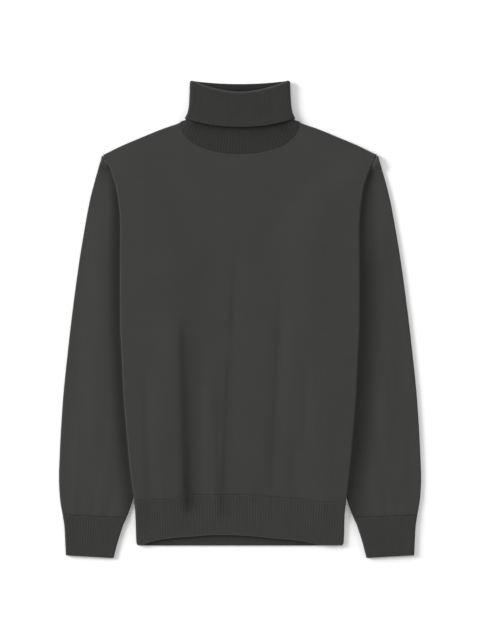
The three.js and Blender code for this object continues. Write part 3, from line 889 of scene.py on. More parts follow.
@dataclass(frozen=True)
class BodyPanel:
    """The front or the back of the body, in plain jersey, from the hem seam to the shoulders and neckline."""

    form: BodyForm
    layer: Layer
    neck_columns: int
    shoulder_columns: int
    turn_columns: int = 6
    low_rows: int = 190
    high_rows: int = 52
    turn_rows: int = 5
    pinch_from: float = 0.84
    neck_blend_from: float = 0.62
    hem_blend_to: float = 0.3
    neck_to_shoulder: float = 5.0
    neck_gap: float = 1.5 * SEAM_GAP
    neck_margin: float = 0.01
    inside_step: int = 6
    neck_crowding: float = 0.35
    samples: int = 1000

    def columns(self) -> tuple[Array, Array, Array]:
        """The panel's columns.

        Returns:
            Each column's share of the half width at the top, the same at the foot, and its side turn.
        """
        form = self.form
        shares = spread(0, 1, self.samples)
        places = form.across(shares, form.shoulder_y - form.radius)
        neck = np.interp(form.neck_half + SEAM_GAP, places, shares)
        even = spread(0, 1, self.neck_columns)
        crowded = mix(even, np.sin(even * QUARTER_TURN), self.neck_crowding)
        half = joined(crowded * neck, spread(neck, 1, self.shoulder_columns))
        foot = spread(0, 1, len(half) - 1)
        turns = spread(0, 1, self.turn_columns)[1:]
        ones = np.ones(len(turns))
        top = np.concatenate([half, ones])
        low = np.concatenate([foot, ones])
        turn = np.concatenate([np.zeros(len(half)), turns])
        return two_sided(top, -1), two_sided(low, -1), two_sided(turn, 1)

    def rows(self) -> tuple[Array, Array]:
        """The panel's rows, which lie closest at the hem's rolled edge and at the shoulder's pinch.

        Returns:
            Each row's share of the height, and its shoulder turn.
        """
        form = self.form
        edge = LIP_STEPS / (form.shoulder_y - form.hem_seam(form.hem_side_x))
        low = spread(edge[-1], self.pinch_from, self.low_rows)
        flat = joined(edge, low, spread(self.pinch_from, 1, self.high_rows))
        turns = spread(0, 1, self.turn_rows)[1:]
        return np.concatenate([flat, np.ones(len(turns))]), np.concatenate([np.zeros(len(flat)), turns])

    def shell(self) -> Shell:
        """Works out the panel.

        Returns:
            Its closed wall.
        """
        form = self.form
        top, low, side_turn = self.columns()
        along, end_turn = self.rows()
        foot_y = form.hem_seam(form.hem_side_x) + SEAM_GAP
        top_y = form.shoulder_y - form.radius
        neck_cut = form.neck_half + SEAM_GAP

        def side(rows: Array, columns: Array, inside: bool) -> Grid:
            """The panel's outside or inside at some of its rows and columns.

            Args:
                rows: The numbers of the rows.
                columns: The numbers of the columns.
                inside: Whether it is the wall's inside.

            Returns:
                That side of the wall.
            """
            rise = along[rows][:, None]
            neck_blend = eased((rise - self.neck_blend_from) / (1 - self.neck_blend_from))
            hem_blend = eased(1 - rise / self.hem_blend_to)
            side_y = mix(foot_y, top_y, rise)
            share = mix(low[columns][None, :], top[columns][None, :], neck_blend)
            x = form.across(share, side_y)
            top_x = np.abs(form.across(top[columns], top_y))[None, :]
            neck_x = top_x * form.neck_half / neck_cut
            neckline = form.front_neck if self.layer is Layer.FRONT else form.back_neck
            neck_line = neckline(neck_x) - self.neck_gap
            top_line = np.where(top_x <= neck_cut + self.neck_margin, neck_line, form.shoulder_line(top_x))
            seam = form.hem_seam(x) + SEAM_GAP
            y = side_y + neck_blend * (top_line - form.shoulder_y) + hem_blend * (seam - foot_y)
            on_shoulder = eased((top_x - neck_cut) / self.neck_to_shoulder)
            turn = end_turn[rows][:, None]
            y = y + form.radius * turn * (1 - on_shoulder)
            sunk = np.zeros_like(y) if inside else rolled(y - seam, LIP)
            depth = JERSEY_WALL if inside else 0.0
            ones = np.ones_like(y)
            side_turns = side_turn[columns][None, :] * ones
            points = form.turned(x, y, side_turns, turn * on_shoulder, depth * ones, self.layer)
            points[..., 2] += -sunk if self.layer is Layer.FRONT else sunk
            round_side = form.radius * QUARTER_TURN * side_turns
            round_end = form.radius * QUARTER_TURN * turn * on_shoulder
            cloth = np.stack([x + np.sign(x) * round_side, y + round_end, ones], axis=-1)
            # Painted shade in the front's fold hollows.
            hollow = form.shade(x, y) if self.layer is Layer.FRONT else np.zeros_like(y)
            return Grid(points, cloth, hollow)

        count = len(along)
        close = (count - self.high_rows, count)
        corner = self.turn_columns + self.shoulder_columns
        beside = np.arange(corner - self.inside_step, corner + self.inside_step)
        corners = np.concatenate([beside, len(top) - 1 - beside])
        return wall(side, count, len(top), self.inside_step, self.layer is Layer.BACK, close, corners)

    def build(self, material: bpy.types.Material) -> bpy.types.Object:
        """Builds the panel and lets it stand for its solid."""
        name = f"knit_{self.layer.value}"
        return fit(self.shell(), name, material, f"{self.layer.value}_panel")


@dataclass(frozen=True)
class HemRib:
    """The rib that ends the front or the back of the body."""

    form: BodyForm
    layer: Layer
    ribs: int = 78
    columns_per_rib: int = 8
    row_count: int = 44
    turn_columns: int = 6
    rib_pitch: float = 4.4
    inside_step: int = 8
    foot_lip: float = 0.5
    # Painted highlight along the front's lower edge, and painted shade on the back's inside below it.
    edge_painted_highlight: float = 0.9
    highlight_reach: float = 2.6
    strip_shade: float = 0.4
    strip_reach: float = 15.0

    def columns(self) -> tuple[Array, Array]:
        """The rib's columns.

        Returns:
            Each column's share of the half width, and its side turn.
        """
        flat = spread(-1, 1, self.ribs * self.columns_per_rib)
        turns = spread(0, 1, self.turn_columns)[1:]
        ones = np.ones(len(turns))
        share = np.concatenate([-ones, flat, ones])
        return share, np.concatenate([turns[::-1], np.zeros(len(flat)), turns])

    def rows(self) -> Array:
        """Each row's share of the rib's length, closest at its two rolled edges."""
        edge = LIP_STEPS / (self.form.hem_seam(0.0) - self.form.hem_back_edge)
        return joined(edge, spread(edge[-1], 1 - edge[-1], self.row_count), 1 - edge[::-1])

    def shell(self) -> Shell:
        """Works out the rib.

        Returns:
            Its closed wall.
        """
        form = self.form
        share, side_turn = self.columns()
        down = self.rows()
        front = self.layer is Layer.FRONT
        foot_half = form.side(form.hem_seam(form.hem_side_x) + SEAM_GAP) - form.radius

        def side(rows: Array, columns: Array, inside: bool) -> Grid:
            """The rib's outside or inside at some of its rows and columns.

            Args:
                rows: The numbers of the rows.
                columns: The numbers of the columns.
                inside: Whether it is the wall's inside.

            Returns:
                That side of the wall.
            """
            across = share[columns][None, :]
            seam_x = across * foot_half
            top = form.hem_seam(seam_x)
            bottom = form.hem_front_edge(seam_x) if front else form.hem_back_edge
            y = mix(top, bottom, down[rows][:, None])
            x = across * (form.side(y) - form.radius)
            ones = np.ones_like(y)
            turn = side_turn[columns][None, :] * ones
            profile = rib_profile((across + 1) / 2 * self.ribs) * np.cos(turn * QUARTER_TURN)
            depth = (RIB_WALL if inside else 0.0) * ones
            points = form.turned(x, y, turn, 0 * ones, depth, self.layer)
            sunk = rolled(top - y, LIP) + rolled(y - bottom, self.foot_lip)
            if inside:
                points[..., 2] -= 0 if front else RIB_DEPTH * profile
            elif front:
                points[..., 2] += RIB_BASE + RIB_DEPTH * profile - sunk
            else:
                points[..., 2] += RIB_DEPTH * (1 - profile) + sunk
            round_side = np.sign(across) * form.radius * QUARTER_TURN * turn
            wales = (across + 1) / 2 * self.ribs * self.rib_pitch + round_side
            cloth = np.stack([wales * ones, y, profile * ones], axis=-1)
            # Painted shade on the back rib's inside below the front's edge; on the front, painted fold shade
            # less a painted highlight along its lower edge.
            below = form.hem_front_edge(seam_x) - y
            strip = self.strip_shade * np.exp(-np.maximum(below, 0.0) / self.strip_reach)
            pale = form.shade(x, y) - self.edge_painted_highlight * eased(1 - (y - bottom) / self.highlight_reach)
            hollow = strip if inside else pale
            hollow = hollow if front != inside else np.zeros_like(y)
            return Grid(points, cloth, hollow)

        return wall(side, len(down), len(share), self.inside_step, front, (0, 2 * self.inside_step))

    def build(self, material: bpy.types.Material) -> bpy.types.Object:
        """Builds the rib and lets it stand for its solid."""
        node = f"hem_{self.layer.value}"
        return fit(self.shell(), f"knit_{node}", material, node)


@dataclass(frozen=True)
class TubeColumns:
    """The columns round a flattened tube, which is a panel folded double with its seam at the inner fold.

    They run over the upper layer to the outer fold and back along the lower layer.
    """

    turn: int
    upper: int
    outer: int
    lower: int

    def lay(self) -> tuple[Array, Array]:
        """Lays the columns round the tube.

        Returns:
            Each column's stretch, numbered from 0 to 4, and its share of that stretch.
        """
        stretch = [np.array([0.0])]
        share = [np.array([0.0])]
        for number, steps in enumerate((self.turn, self.upper, self.outer, self.lower, self.turn)):
            stretch.append(np.full(steps, float(number)))
            share.append(spread(0, 1, steps)[1:])
        return np.concatenate(stretch), np.concatenate(share)


@dataclass(frozen=True)
class SleeveForm:
    """The outline and the lie of a sleeve and its cuff. Sizes are those of the right one."""

    body: BodyForm
    top_y: float = 271.0
    tip_y: float = 254.0
    tip_slim: float = 0.3
    head_rise: tuple[float, float] = (245.5, 258.0)
    end_y: float = -326.5
    cuff_end_y: float = -393.3
    height: float = 3.5
    loft: float = 0.8
    loft_reach: float = 12.0
    tilt_rise: float = 4.3
    tilt_length: float = 130.0
    belly: float = 1.4
    belly_top: tuple[float, float] = (235.0, 150.0)
    belly_end: tuple[float, float] = (-322.0, -250.0)
    belly_shares: tuple[float, float] = (0.45, 0.5)
    outer: Curve = Curve((
        (-396, 288.6), (-366, 290), (-349, 290.8), (-338, 292), (-328, 293.8), (-315, 296.4),
        (-295, 299), (-266, 300.4), (-217, 298.8), (-134, 293.8), (-51, 285.5), (32, 275.6),
        (100, 266.2), (160, 256.2), (198, 249), (231, 240.6), (245, 236.6), (253, 234.2), (263, 230.9),
        (268, 229.8), (271, 229.0),
    ))
    gathers: tuple[Gather, ...] = (
        Gather(0.10, 0.3, 0.07, 50), Gather(0.2, 0.55, 0.09, 70), Gather(0.31, -0.3, 0.06, 44),
        Gather(0.42, 0.75, 0.1, 105), Gather(0.53, -0.35, 0.05, 56), Gather(0.63, 0.5, 0.09, 76),
        Gather(0.73, -0.3, 0.06, 44), Gather(0.82, 0.7, 0.08, 95),
    )
    creases: tuple[Fold, ...] = (
        Fold((243, 215), (238, 40), 0.5, 9, 12, 70),
        Fold((268, -10), (262, -190), -0.4, 9, 13, 70),
        Fold((236, -60), (246, -250), 0.5, 11, 9, 70),
        Fold((272, -150), (268, -318), 0.5, 10, 8, 60),
        Fold((214, -170), (222, -322), 0.4, 8, 10, 60),
    )

    def belly_rise(self, x: Array, y: Array) -> Array:
        """How far the air in the sleeve lifts its upper layer between the body's edge and the outer fold.

        Args:
            x: The points' places across the sweater.
            y: Their places along it.

        Returns:
            The lift at each point.
        """
        edge = self.body.side(y)
        share = (x - edge) / np.maximum(self.outer(y) - edge, 1.0)
        top = eased((self.belly_top[0] - y) / (self.belly_top[0] - self.belly_top[1]))
        end = eased((y - self.belly_end[0]) / (self.belly_end[1] - self.belly_end[0]))
        inner, outer = self.belly_shares
        return self.belly * eased(share / inner) * eased((1 - share) / outer) * top * end

    def tilt(self, across: Array, y: Array) -> Array:
        """How far the sleeve's end slants up towards its outer fold."""
        return self.tilt_rise * (across - 0.5) * eased((self.end_y + self.tilt_length - y) / self.tilt_length)

    def place(
        self, stretch: Array, share: Array, y: Array, depth: Array, height: float, lifted: Array
    ) -> Array:
        """Points of the tube.

        Args:
            stretch: The stretch of the tube's round that each point is on.
            share: How far along its stretch the point lies.
            y: Its place along the sleeve.
            depth: How far inside the wall it lies.
            height: The height of the flattened tube.
            lifted: How far the upper layer is lifted there.

        Returns:
            The points, with their three coordinates last.
        """
        slim = mix(1.0, self.tip_slim, eased((y - self.tip_y) / (self.top_y - self.tip_y)))
        low, high = self.head_rise
        body_top = self.body.tucked(self.body.side(y), y) + self.body.height
        raised = (body_top - height * slim) * eased((y - low) / (high - low))
        height = height * slim
        depth = depth * slim
        inner_radius = (height - SEAM_GAP * slim) / 2
        outer_radius = (height + self.loft * slim) / 2
        inner_x = self.body.sleeve_inner(y) + inner_radius
        outer_x = self.outer(y) - outer_radius
        across = np.select([stretch == 1, stretch == 2, stretch == 3], [share, 1.0, 1 - share], 0.0)
        tilt = self.tilt(across, y)
        flat_x = mix(inner_x, outer_x, across)
        loft = self.loft * np.exp(-(((outer_x - flat_x) / self.loft_reach) ** 2))
        on_turns = [stretch == 0, stretch == 2, stretch == 4]
        turn = np.select(on_turns, [2 - share, 1 - 2 * share, 3 - share], 0.0)
        angle = QUARTER_TURN * turn
        radius = np.where(stretch == 2, outer_radius, inner_radius)
        reach = radius - depth
        centre_x = np.where(stretch == 2, outer_x, inner_x)
        centres = [height - inner_radius, outer_radius]
        centre_z = np.select([stretch == 0, stretch == 2], centres, inner_radius)
        flat_z = np.where(stretch == 1, height + loft + lifted - depth, depth)
        flat = (stretch == 1) | (stretch == 3)
        x = np.where(flat, flat_x, centre_x + reach * np.cos(angle))
        z = np.where(flat, flat_z, centre_z + reach * np.sin(angle))
        return np.stack([x, y + tilt, z + raised], axis=-1)

    def knit_place(self, points: Array, stretch: Array) -> Array:
        """How far round the tube each point lies from the outer fold, along the knit."""
        off_fold = self.outer(points[..., 1]) - points[..., 0]
        return np.where(stretch >= 3, -off_fold, off_fold)


@dataclass(frozen=True)
class Sleeve:
    """A jersey sleeve from the armhole to the cuff.

    Along the body's edge its colour carries painted shade. A shade's pair of values holds the left sleeve's
    first.
    """

    form: SleeveForm
    side: Side
    columns: TubeColumns = TubeColumns(turn=5, upper=110, outer=10, lower=25)
    head_rows: int = 25
    rows: int = 250
    head_y: float = 225.0
    close_rows: int = 33
    inside_step: int = 5
    flat_share: float = 0.05
    # Painted shade beside the body's edge: its width, fade, value at the edge, narrowing and strength.
    shade_plateau: tuple[float, float] = (4.0, 12.0)
    shade_fade: tuple[float, float] = (25.0, 34.0)
    shade_at_edge: float = 0.2
    shade_slim: Curve = Curve(((90, 1.0), (200, 0.65), (225, 0.5), (243, 0.25)))
    shade_strength: tuple[Curve, Curve] = (
        Curve(((-266, 0.85), (-200, 1.0), (195, 1.0), (225, 0.55), (254, 0.0))),
        Curve(((-266, 0.75), (-200, 1.0), (60, 1.0), (132, 0.72), (198, 0.6), (225, 0.4), (254, 0.0))),
    )

    def shell(self) -> Shell:
        """Works out the sleeve as on the right.

        Returns:
            Its closed wall.
        """
        form = self.form
        right = self.side is Side.RIGHT
        plateau, fade = self.shade_plateau[right], self.shade_fade[right]
        stretch, share = self.columns.lay()
        lip = form.end_y + LIP_STEPS[::-1]
        head = spread(form.top_y, self.head_y, self.head_rows)
        ys = joined(head, spread(self.head_y, lip[0], self.rows), lip)

        def side(rows: Array, columns: Array, inside: bool) -> Grid:
            """The sleeve's outside or inside at some of its rows and columns.

            Args:
                rows: The numbers of the rows.
                columns: The numbers of the columns.
                inside: Whether it is the wall's inside.

            Returns:
                That side of the wall.
            """
            s, y = np.meshgrid(stretch[columns], ys[rows])
            t, _ = np.meshgrid(share[columns], ys[rows])
            flat_x = mix(form.body.sleeve_inner(y), form.outer(y), t)
            lifted = form.belly_rise(flat_x, y) + sum(crease.relief(flat_x, y) for crease in form.creases)
            lifted = lifted + sum(gather.relief(t, y - form.end_y) for gather in form.gathers)
            lifted = lifted * eased(t / self.flat_share) * eased((1 - t) / self.flat_share)
            depth = np.full_like(y, JERSEY_WALL) if inside else rolled(y - form.end_y, LIP)
            points = form.place(s, t, y, depth, form.height, lifted)
            cloth = np.stack([form.knit_place(points, s), points[..., 1], np.ones_like(y)], axis=-1)
            # Painted shade beside the body's edge.
            beside = np.maximum(points[..., 0] - form.body.side(points[..., 1]), 0.0)
            slim = self.shade_slim(y)
            start = mix(self.shade_at_edge, 1.0, eased(beside / (plateau * slim)))
            shade = start * (1 - eased((beside / slim - plateau) / fade))
            return Grid(points, cloth, shade * self.shade_strength[right](y))

        return wall(side, len(ys), len(stretch), self.inside_step, True, (0, self.close_rows))

    def build(self, material: bpy.types.Material) -> bpy.types.Object:
        """Builds the sleeve on its side and lets it stand for its solid."""
        node = f"sleeve_{self.side.value}"
        return fit(self.shell().on(self.side), f"knit_{node}", material, node)


@dataclass(frozen=True)
class Cuff:
    """The rib cuff of a sleeve."""

    form: SleeveForm
    side: Side
    ribs: int = 21
    columns_per_rib: int = 8
    turn_columns: int = 4
    outer_columns: int = 10
    row_count: int = 40
    rib_pitch: float = 4.4
    inside_step: int = 6

    def shell(self) -> Shell:
        """Works out the cuff as on the right.

        Returns:
            Its closed wall.
        """
        form = self.form
        layer = self.ribs * self.columns_per_rib
        stretch, share = TubeColumns(self.turn_columns, layer, self.outer_columns, layer // 2).lay()
        top = form.end_y - SEAM_GAP
        middle = spread(top - LIP, form.cuff_end_y + LIP, self.row_count)
        ys = joined(top - LIP_STEPS, middle, form.cuff_end_y + LIP_STEPS[::-1])

        def side(rows: Array, columns: Array, inside: bool) -> Grid:
            """The cuff's outside or inside at some of its rows and columns.

            Args:
                rows: The numbers of the rows.
                columns: The numbers of the columns.
                inside: Whether it is the wall's inside.

            Returns:
                That side of the wall.
            """
            s, y = np.meshgrid(stretch[columns], ys[rows])
            t, _ = np.meshgrid(share[columns], ys[rows])
            profile = np.where((s == 1) | (s == 3), rib_profile(t * self.ribs), 0.0)
            sunk = rolled(top - y, LIP) + rolled(y - form.cuff_end_y, LIP)
            outside = np.where(s == 3, RIB_DEPTH * (1 - profile), -RIB_BASE - RIB_DEPTH * profile) + sunk
            depth = np.full_like(y, RIB_WALL) if inside else outside
            points = form.place(s, t, y, depth, 2 * RIB_WALL + SEAM_GAP, 0 * y)
            around = np.where(s == 3, -(1 - t), 1 - t) * self.ribs * self.rib_pitch
            cloth = np.stack([around, points[..., 1], profile], axis=-1)
            return Grid(points, cloth, np.zeros_like(y))

        count = len(ys)
        return wall(side, count, len(stretch), self.inside_step, True, (count - self.inside_step, count))

    def build(self, material: bpy.types.Material) -> bpy.types.Object:
        """Builds the cuff on its side and lets it stand for its solid."""
        node = f"cuff_{self.side.value}"
        return fit(self.shell().on(self.side), f"knit_{node}", material, node)


class Seam(NamedTuple):
    """The path of a seam, and which way is out of the cloth along it."""

    path: Array
    up: Array


@dataclass(frozen=True)
class Linking:
    """The row of small knitted loops that joins two pieces, sunk in the groove between them.

    Each section of a loop has its share of the way along it and its share of the loop's width.
    """

    pitch: float = 2.2
    length: float = 1.9
    width: float = 1.1
    height: float = 0.7
    tilt: float = 0.3
    sides: int = 6
    sections: tuple[tuple[float, float], ...] = ((-0.5, 0.45), (-0.22, 1.0), (0.22, 1.0), (0.5, 0.45))

    def stitches(self, seam: Seam) -> Shell:
        """The loops along a seam.

        Args:
            seam: The seam.

        Returns:
            All its loops as one piece.
        """
        steps = np.linalg.norm(np.diff(seam.path, axis=0), axis=-1)
        walked = np.concatenate([[0.0], np.cumsum(steps)])
        count = max(2, int(walked[-1] / self.pitch))
        at = (np.arange(count) + 0.5) * walked[-1] / count
        centre = np.stack([np.interp(at, walked, seam.path[:, axis]) for axis in range(3)], axis=-1)
        up = np.stack([np.interp(at, walked, seam.up[:, axis]) for axis in range(3)], axis=-1)
        up /= np.linalg.norm(up, axis=-1, keepdims=True)
        ahead = np.gradient(centre, axis=0)
        ahead /= np.linalg.norm(ahead, axis=-1, keepdims=True)
        beside = np.cross(up, ahead)
        lean = self.tilt * np.where(np.arange(count) % 2, 1.0, -1.0)[:, None]
        ahead = ahead * np.cos(lean) + beside * np.sin(lean)
        beside = np.cross(up, ahead)
        angles = 2 * math.pi * np.arange(self.sides) / self.sides
        rings = []
        for along, size in self.sections:
            out = beside[:, None] * np.cos(angles)[:, None] * self.width / 2
            out = out + up[:, None] * np.sin(angles)[:, None] * self.height / 2
            rings.append((centre + along * self.length * ahead)[:, None] + size * out)
        points = np.stack(rings, axis=1).reshape(-1, 3)
        per_loop = len(rings) * self.sides
        one = [tuple(reversed(range(self.sides))), tuple(range(per_loop - self.sides, per_loop))]
        for ring in range(len(rings) - 1):
            for corner in range(self.sides):
                a, b = ring * self.sides + corner, ring * self.sides + (corner + 1) % self.sides
                one.append((a, b, b + self.sides, a + self.sides))
        starts = range(0, len(points), per_loop)
        faces = [tuple(start + vertex for vertex in face) for start in starts for face in one]
        cloth = np.stack([points[:, 0], points[:, 1], np.ones(len(points))], axis=-1)
        return Shell(points, faces, cloth, np.zeros(len(points)))

    def build(self, name: str, seam: Seam, material: bpy.types.Material, slot: Slot) -> bpy.types.Object:
        """Builds the loops along a seam.

        Args:
            name: The name of the seam.
            seam: Its path.
            material: The finish of the yarn.
            slot: The record's knit of the yarn; not used.

        Returns:
            The loops, which ride on the sweater.
        """
        shell = self.stitches(seam)
        piece = shell.make(f"linking_{name}", material)
        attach(piece, BODY)
        LOG.info("linking_%s: %d loops", name, len(shell.points) // (len(self.sections) * self.sides))
        return piece


@dataclass(frozen=True)
class Seams:
    """Where the sweater's seams run. Each is worked out on the right and mirrored where it has a pair."""

    body: BodyForm
    arm: SleeveForm
    groove: float = 0.45
    below_tip: float = 24.0
    above_hem: float = 1.0
    above_cuff: float = 4.0
    shoulder_ends: tuple[float, float] = (5.0, 3.0)
    neck_share: float = 0.985
    neck_lap: float = 0.8
    inner_lap: float = 0.1
    steps: int = 600
    round_cuff: TubeColumns = TubeColumns(turn=6, upper=120, outer=12, lower=120)

    def on_side(self, seam: Seam, side: Side) -> Seam:
        """The seam on its own side of the sweater."""
        flip = np.array([1.0 if side is Side.RIGHT else -1.0, 1.0, 1.0])
        return Seam(seam.path * flip, seam.up * flip)

    def upright(self, path: Array, way: float) -> Seam:
        """A seam whose loops face straight up or straight down."""
        return Seam(path, np.tile([0.0, 0.0, way], (len(path), 1)))

    def hem(self, layer: Layer) -> Seam:
        """The seam between a body panel and its hem rib.

        Args:
            layer: Front or back.

        Returns:
            Its path.
        """
        half = self.body.side(self.body.hem_seam(self.body.hem_side_x)) - self.body.radius
        x = spread(-half, half, self.steps)
        y = self.body.hem_seam(x) + SEAM_GAP / 2
        none = np.zeros_like(x)
        path = self.body.turned(x, y, none, none, none + self.groove, layer)
        return self.upright(path, 1.0 if layer is Layer.FRONT else -1.0)

    def neckline(self, layer: Layer) -> Seam:
        """The seam between a body panel and the collar.

        Args:
            layer: Front or back.

        Returns:
            Its path.
        """
        front = layer is Layer.FRONT
        angle = spread(-QUARTER_TURN, QUARTER_TURN, self.steps)
        x = self.neck_share * self.body.neck_half * np.sin(angle)
        y = (self.body.front_neck(x) if front else self.body.back_neck(x)) - SEAM_GAP * self.neck_lap
        z = np.full_like(x, self.body.height - self.groove if front else self.groove)
        return self.upright(np.stack([x, y, z], axis=-1), 1.0 if front else -1.0)

    def flank(self, side: Side) -> Seam:
        """The side seam between the front and the back.

        Args:
            side: Left or right.

        Returns:
            Its path.
        """
        low = self.body.hem_seam(self.body.hem_side_x) + self.above_hem
        y = spread(low, self.body.shoulder_y - self.below_tip, self.steps)
        x = self.body.side(y)
        z = self.body.tucked(x, y) + self.body.height / 2
        out = np.stack([np.ones_like(y), -np.gradient(x, y), np.zeros_like(y)], axis=-1)
        out /= np.linalg.norm(out, axis=-1, keepdims=True)
        return self.on_side(Seam(np.stack([x, y, z], axis=-1) - self.groove * out, out), side)

    def shoulder(self, side: Side) -> Seam:
        """The shoulder seam between the front and the back.

        Args:
            side: Left or right.

        Returns:
            Its path.
        """
        inner, outer = self.shoulder_ends
        x = spread(self.body.neck_half + inner, self.body.side(self.body.shoulder_y) - outer, self.steps)
        y = self.body.shoulder_line(x)
        z = self.body.tucked(x, y - self.body.radius) + self.body.height / 2
        slope = np.gradient(y, x)
        up = np.stack([-slope, np.ones_like(x), np.zeros_like(x)], axis=-1)
        return self.on_side(Seam(np.stack([x, y - self.groove, z], axis=-1), up), side)

    def underarm(self, side: Side) -> Seam:
        """The sleeve's own seam, at its inner fold.

        Args:
            side: Left or right.

        Returns:
            Its path.
        """
        y = spread(self.arm.end_y + self.above_cuff, self.arm.tip_y, self.steps)
        x = self.body.sleeve_inner(y) + self.inner_lap
        tilted = y + self.arm.tilt(np.zeros_like(y), y)
        path = np.stack([x, tilted, np.full_like(y, self.arm.height / 2)], axis=-1)
        return self.on_side(Seam(path, np.tile([-1.0, 0.0, 0.0], (len(y), 1))), side)

    def cuff(self, side: Side) -> Seam:
        """The seam round the sleeve between its jersey and its rib.

        Args:
            side: Left or right.

        Returns:
            Its path.
        """
        stretch, share = self.round_cuff.lay()
        y = np.full_like(share, self.arm.end_y - SEAM_GAP / 2)
        none = np.zeros_like(y)
        path = self.arm.place(stretch, share, y, none + self.groove, self.arm.height, none)
        above = self.arm.place(stretch, share, y, none - 1.0, self.arm.height, none)
        return self.on_side(Seam(path, above - path), side)


class RingPlaces(NamedTuple):
    """Places round the flattened collar: a share of its half width, an angle round its side, and the ribs."""

    share: Array
    angle: Array
    phase: Array


@dataclass(frozen=True)
class RollCollar:
    """The rib tube that stands up from the neckline and turns down outside itself."""

    body: BodyForm
    middle: float = 4.7
    hollow: float = 0.3
    layer_gap: float = 0.4
    corner_y: float = 395.6
    front_dip: float = 18.1
    back_dip: float = 5.0
    front_power: float = 1.8
    edge_corner_y: float = 332.0
    edge_front_dip: float = 13.3
    edge_back_dip: float = 8.0
    edge_power: float = 2.2
    half_width: Curve = Curve(((300, 91.5), (332, 91.5), (343, 87), (358, 84.5), (396, 83)))
    ribs: int = 38
    front_columns_per_rib: int = 8
    back_columns_per_rib: int = 6
    turn_ribs: int = 3
    turn_columns_per_rib: int = 8
    neck_rows: int = 12
    inside_rows: int = 14
    bend_rows: int = 12
    turned_rows: int = 20
    turned_edge: tuple[float, ...] = (0.94, 0.97, 0.985, 0.995, 1.0)
    hidden_rows: int = 14
    hidden_bend_rows: int = 4
    stand_rows: int = 24
    stand_foot: tuple[float, ...] = (0.97, 0.985, 0.993, 1.0)
    stand_rise: float = 0.24
    turned_rise: float = 0.2
    inside_rise: float = 0.2
    # Painted shade inside the back, on the hidden faces and on the stand below the turned-down edge; painted
    # highlights along the top fold and the free edge.
    inside_shade: tuple[float, float] = (0.45, 1.25)
    inside_reach: float = 12.0
    hidden_shade: tuple[float, float] = (0.8, 1.0)
    top_painted_highlight: float = 1.1
    top_turn: float = 0.8
    top_reach: float = 1.5
    foot_painted_highlight: float = 0.5
    foot_reach: float = 2.0
    corner_reach: tuple[float, float] = (6.0, 13.0)
    corner_from: float = 0.82
    stand_shade: float = 0.2
    edge_lift: float = 0.9
    edge_lift_length: float = 16.0
    rib_pitch: float = 4.4
    creases: tuple[Fold, ...] = (
        Fold((22, 372), (-34, 330), 0.35, 9, 6, 22),
        Fold((-20, 352), (24, 322), 0.3, 6, 9, 16),
        Fold((62, 378), (70, 330), -0.3, 6, 9, 20),
        Fold((-58, 376), (-66, 332), 0.3, 7, 7, 20),
    )

    def ring(self) -> RingPlaces:
        """Lays the places over the front, round one side, over the back and round the other.

        Returns:
            The places.
        """
        front = spread(-1, 1, self.ribs * self.front_columns_per_rib)
        back = spread(1, -1, self.ribs * self.back_columns_per_rib)
        round_share = spread(0, 1, self.turn_ribs * self.turn_columns_per_rib)[1:-1]
        turn = mix(QUARTER_TURN, -QUARTER_TURN, round_share)
        ones = np.ones_like(turn)
        share = np.concatenate([front, ones, back, -ones])
        quarter = np.full_like(back, -QUARTER_TURN)
        angle = np.concatenate([np.full_like(front, QUARTER_TURN), turn, quarter, turn - 2 * QUARTER_TURN])
        rib = round_share * self.turn_ribs
        phase = np.concatenate([(front + 1) / 2 * self.ribs, rib, (back + 1) / 2 * self.ribs, rib])
        return RingPlaces(share, angle, phase)

    def shell(self) -> Shell:
        """Works out the collar, whose wall closes both round its ring and round each of its sections.

        Returns:
            Its closed wall.
        """
        share, angle, phase = self.ring()
        across = np.abs(share)
        front = (1 + np.sin(angle)) / 2
        x = share * self.body.neck_half
        base = mix(self.body.back_neck(x), self.body.front_neck(x), front)
        edge_dip = mix(self.edge_back_dip, self.edge_front_dip, front)
        edge = self.edge_corner_y - edge_dip * (1 - across**self.edge_power)
        top = self.corner_y - mix(
            self.back_dip * (1 - across**2), self.front_dip * (1 - across**self.front_power), front
        )
        inner = self.hollow
        outer = self.hollow + 2 * RIB_WALL + self.layer_gap
        bend = (outer - inner) / 2
        small_bend = bend - RIB_WALL
        bend_at = inner + bend
        stand_top = top - bend
        profile = rib_profile(phase)
        steep = np.abs(np.sin(angle))
        round_side = outer * (QUARTER_TURN - np.abs(np.arcsin(np.sin(angle))))
        around = share * (self.ribs / 2 * self.rib_pitch + round_side)
        off_corner = 1 - eased((across - self.corner_from) / (1 - self.corner_from))
        lifted = self.edge_lift * off_corner * front
        sections: list[Array] = []
        cloths: list[Array] = []
        # Painted shade of each line, negative where a highlight is painted.
        hollows: list[Array] = []
        walked = np.zeros_like(x)

        def add(y: Array, radius: Values, risen: Values, rib: float, shade: Values) -> None:
            """Adds one line round the collar.

            Args:
                y: Its level at each place.
                radius: How far it lies from the middle of the flattened tube.
                risen: 0 at the neckline and 1 from the free edge's level up.
                rib: How far the ribs stand out of it.
                shade: How much painted shade it takes, negative for a painted highlight.
            """
            nonlocal walked
            upper_half = self.half_width(y) - outer
            centre_x = mix(self.body.neck_half, upper_half, risen)
            centre_z = mix(self.body.height / 2, self.middle, risen)
            reach = radius + rib * (profile - 0.5) * np.maximum(steep, radius / outer)
            place_x = share * centre_x + reach * np.cos(angle)
            points = np.stack([place_x, y * np.ones_like(x), centre_z + reach * np.sin(angle)], axis=-1)
            if sections:
                walked = walked + np.linalg.norm(points - sections[-1], axis=-1)
            sections.append(points)
            cloths.append(np.stack([around, walked, profile], axis=-1))
            hollows.append(shade * np.ones_like(x))

        def risen_at(y: Array) -> Array:
            """How far the stand has left the neckline at each level."""
            return eased((y - base) / (edge - base))
